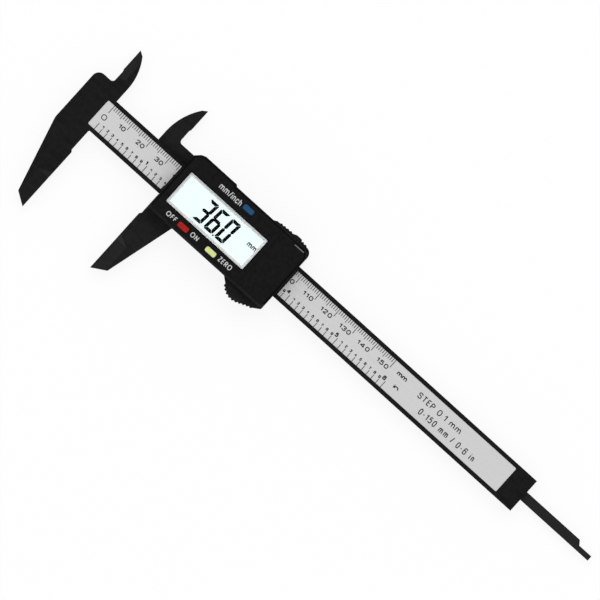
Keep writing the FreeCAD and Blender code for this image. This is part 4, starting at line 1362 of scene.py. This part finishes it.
@dataclass(frozen=True)
class NickPaint:
    """Painted highlight: a grey dash in the nick of the battery cover."""

    length: float = 4.7
    width: float = 0.42
    corner: float = 0.1
    depth: float = 0.2
    dish: tuple[float, float] = (0.06, -0.03)  # how far the face is drawn in and sunk
    drop: float = 0.12  # dash's face below the cover's face
    end_gap: float = 2.4  # from the end of the cover
    side_gap: float = 1.6  # from the side of the cover

    def build(self) -> None:
        """Models the dash with a dished face and puts it on the cover."""
        corner = high("battery_cover")
        dash = Bar(self.length, self.width, self.corner, self.depth).made("nick_paint")
        draw_in_top(dash, *self.dish)
        x, y = corner.x - self.end_gap - self.length / 2, corner.y - self.side_gap
        dash.data.transform(moved(x, y))
        seated(dash, Body.BATTERY_COVER, corner.z - self.drop - self.depth, NICK_HIGHLIGHT.material())


@dataclass(frozen=True)
class FrameDress:
    """Finishes of the frame's own nodes."""

    BLACKS = {
        "beam_with_fixed_jaws": BEAM_BLACK, "end_stop": BEAM_BLACK, "slider_frame": SLIDER_BLACK
    }

    def build(self) -> None:
        """Gives each node the finish of its slot; black mouldings have one of three."""
        kinds = (*SLOT_FINISHES.values(), CASE_BLACK, BEAM_BLACK, SLIDER_BLACK)
        made = {kind.name: kind.material() for kind in kinds}
        for name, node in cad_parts.items():
            slot = node.data.materials[0].name.split(".")[0]
            kind = SLOT_FINISHES.get(slot) or self.BLACKS.get(name, CASE_BLACK)
            for place in node.material_slots:
                place.material = made[kind.name]
            log.info("%s: %s", name, kind.name)


@dataclass(frozen=True)
class Studio:
    """Floor, light and camera round the caliper."""

    turn: float = 42.085  # degrees that the view is turned by
    centre: tuple[float, float] = (106.3, -1.76)
    field: float = 237.3  # mm across the view, at the beam's face
    half_angle: float = 1.5  # degrees
    far: float = 4.0  # how far the camera sees, to its distance from the caliper
    sky: float = 0.74  # light from all round
    key: float = 0.28  # share of the light from the key lamp
    key_place: tuple[float, float, float] = (-1.2, 2.3, 4.0)  # m
    key_size: float = 2.8  # m
    bounce: float = 0.7  # light that the floor throws back
    shade: float = 0.12  # share of its own shading that the floor shows
    floor_size: float = 40.0  # m
    floor_drop: float = 0.2  # floor under the caliper, mm

    SEEN = ("Is Camera Ray", "Is Glossy Ray", "Is Transmission Ray")

    def camera(self) -> None:
        """Adds a long-lensed camera that looks straight down."""
        data = bpy.data.cameras.new("camera")
        slope = math.tan(math.radians(self.half_angle))
        data.lens = data.sensor_width / 2 / slope
        distance = self.field / 2 * MM / slope
        camera = linked("camera", data)
        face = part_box("beam_with_fixed_jaws")[1].z
        camera.location = (self.centre[0] * MM, self.centre[1] * MM, face + distance)
        camera.rotation_euler = (0, 0, math.radians(self.turn))
        data.clip_end = self.far * distance
        bpy.context.scene.camera = camera

    def seen(self, bench: Bench) -> Socket:
        """Gives 1 where a ray shows a surface to the eye, straight, mirrored or through glass."""
        path = bench.add("LightPath").outputs
        return reduce(partial(bench.maths, "MAXIMUM"), [path[kind] for kind in self.SEEN])

    def world(self) -> None:
        """Lights the scene evenly, and shows white where nothing stands."""
        world = bpy.data.worlds.new("soft_light")
        bpy.context.scene.world = world
        world.use_nodes = True
        bench = Bench(world.node_tree, world.node_tree.nodes["Background"])
        bench.feed("Color", WHITE)
        bench.feed("Strength", bench.ramp(self.seen(bench), 0.0, 1.0, self.sky, 1.0))

    def lamp(self) -> None:
        """Adds a square lamp that faces the caliper and throws no glint on metal."""
        data = bpy.data.lights.new("key_lamp", "AREA")
        data.size = self.key_size
        target = Vector((self.centre[0] * MM, self.centre[1] * MM, 0))
        reach = Vector(self.key_place) - target
        data.energy = self.key * (math.pi * reach.length) ** 2
        lamp = linked("key_lamp", data)
        lamp.location = self.key_place
        lamp.visible_glossy = False
        lamp.rotation_mode = "QUATERNION"
        lamp.rotation_quaternion = reach.to_track_quat("Z", "Y")

    def floor(self) -> None:
        """Lays a pale floor that keeps a light shadow and lets a view from below through."""
        take()
        place = (0, 0, -self.floor_drop * MM)
        bpy.ops.mesh.primitive_plane_add(size=self.floor_size, location=place)
        floor = bpy.context.object
        floor.name = "floor"
        material = bpy.data.materials.new("floor_white")
        material.use_nodes = True
        tree = material.node_tree
        tree.nodes.remove(tree.nodes["Principled BSDF"])
        bench = Bench(tree, tree.nodes["Material Output"])
        matt = bench.add("BsdfDiffuse", {"Color": WHITE}).outputs[0]
        glow = bench.add("Emission", {"Color": WHITE, "Strength": 1.0}).outputs[0]
        bounce = bench.add("Emission", {"Strength": self.bounce}).outputs[0]
        clear = bench.add("BsdfTransparent").outputs[0]
        shown = bench.add("MixShader", {0: self.shade, 1: glow, 2: matt}).outputs[0]
        above = bench.add("MixShader", {0: self.seen(bench), 1: bounce, 2: shown}).outputs[0]
        below = bench.add("NewGeometry").outputs["Backfacing"]
        bench.feed("Surface", bench.add("MixShader", {0: below, 1: above, 2: clear}).outputs[0])
        floor.data.materials.append(material)

    def build(self) -> None:
        """Sets up the whole studio."""
        bpy.context.scene.view_settings.view_transform = "Standard"
        self.camera()
        self.world()
        self.lamp()
        self.floor()


def main() -> None:
    """Builds the studio, the finishes and the new pieces in order."""
    logging.basicConfig(level=logging.INFO, format="%(name)s: %(message)s")
    for part in (Studio, FrameDress, ScalePrint, Legends, Window, Reading, NickPaint):
        part().build()


if __name__ == "__main__":
    main()
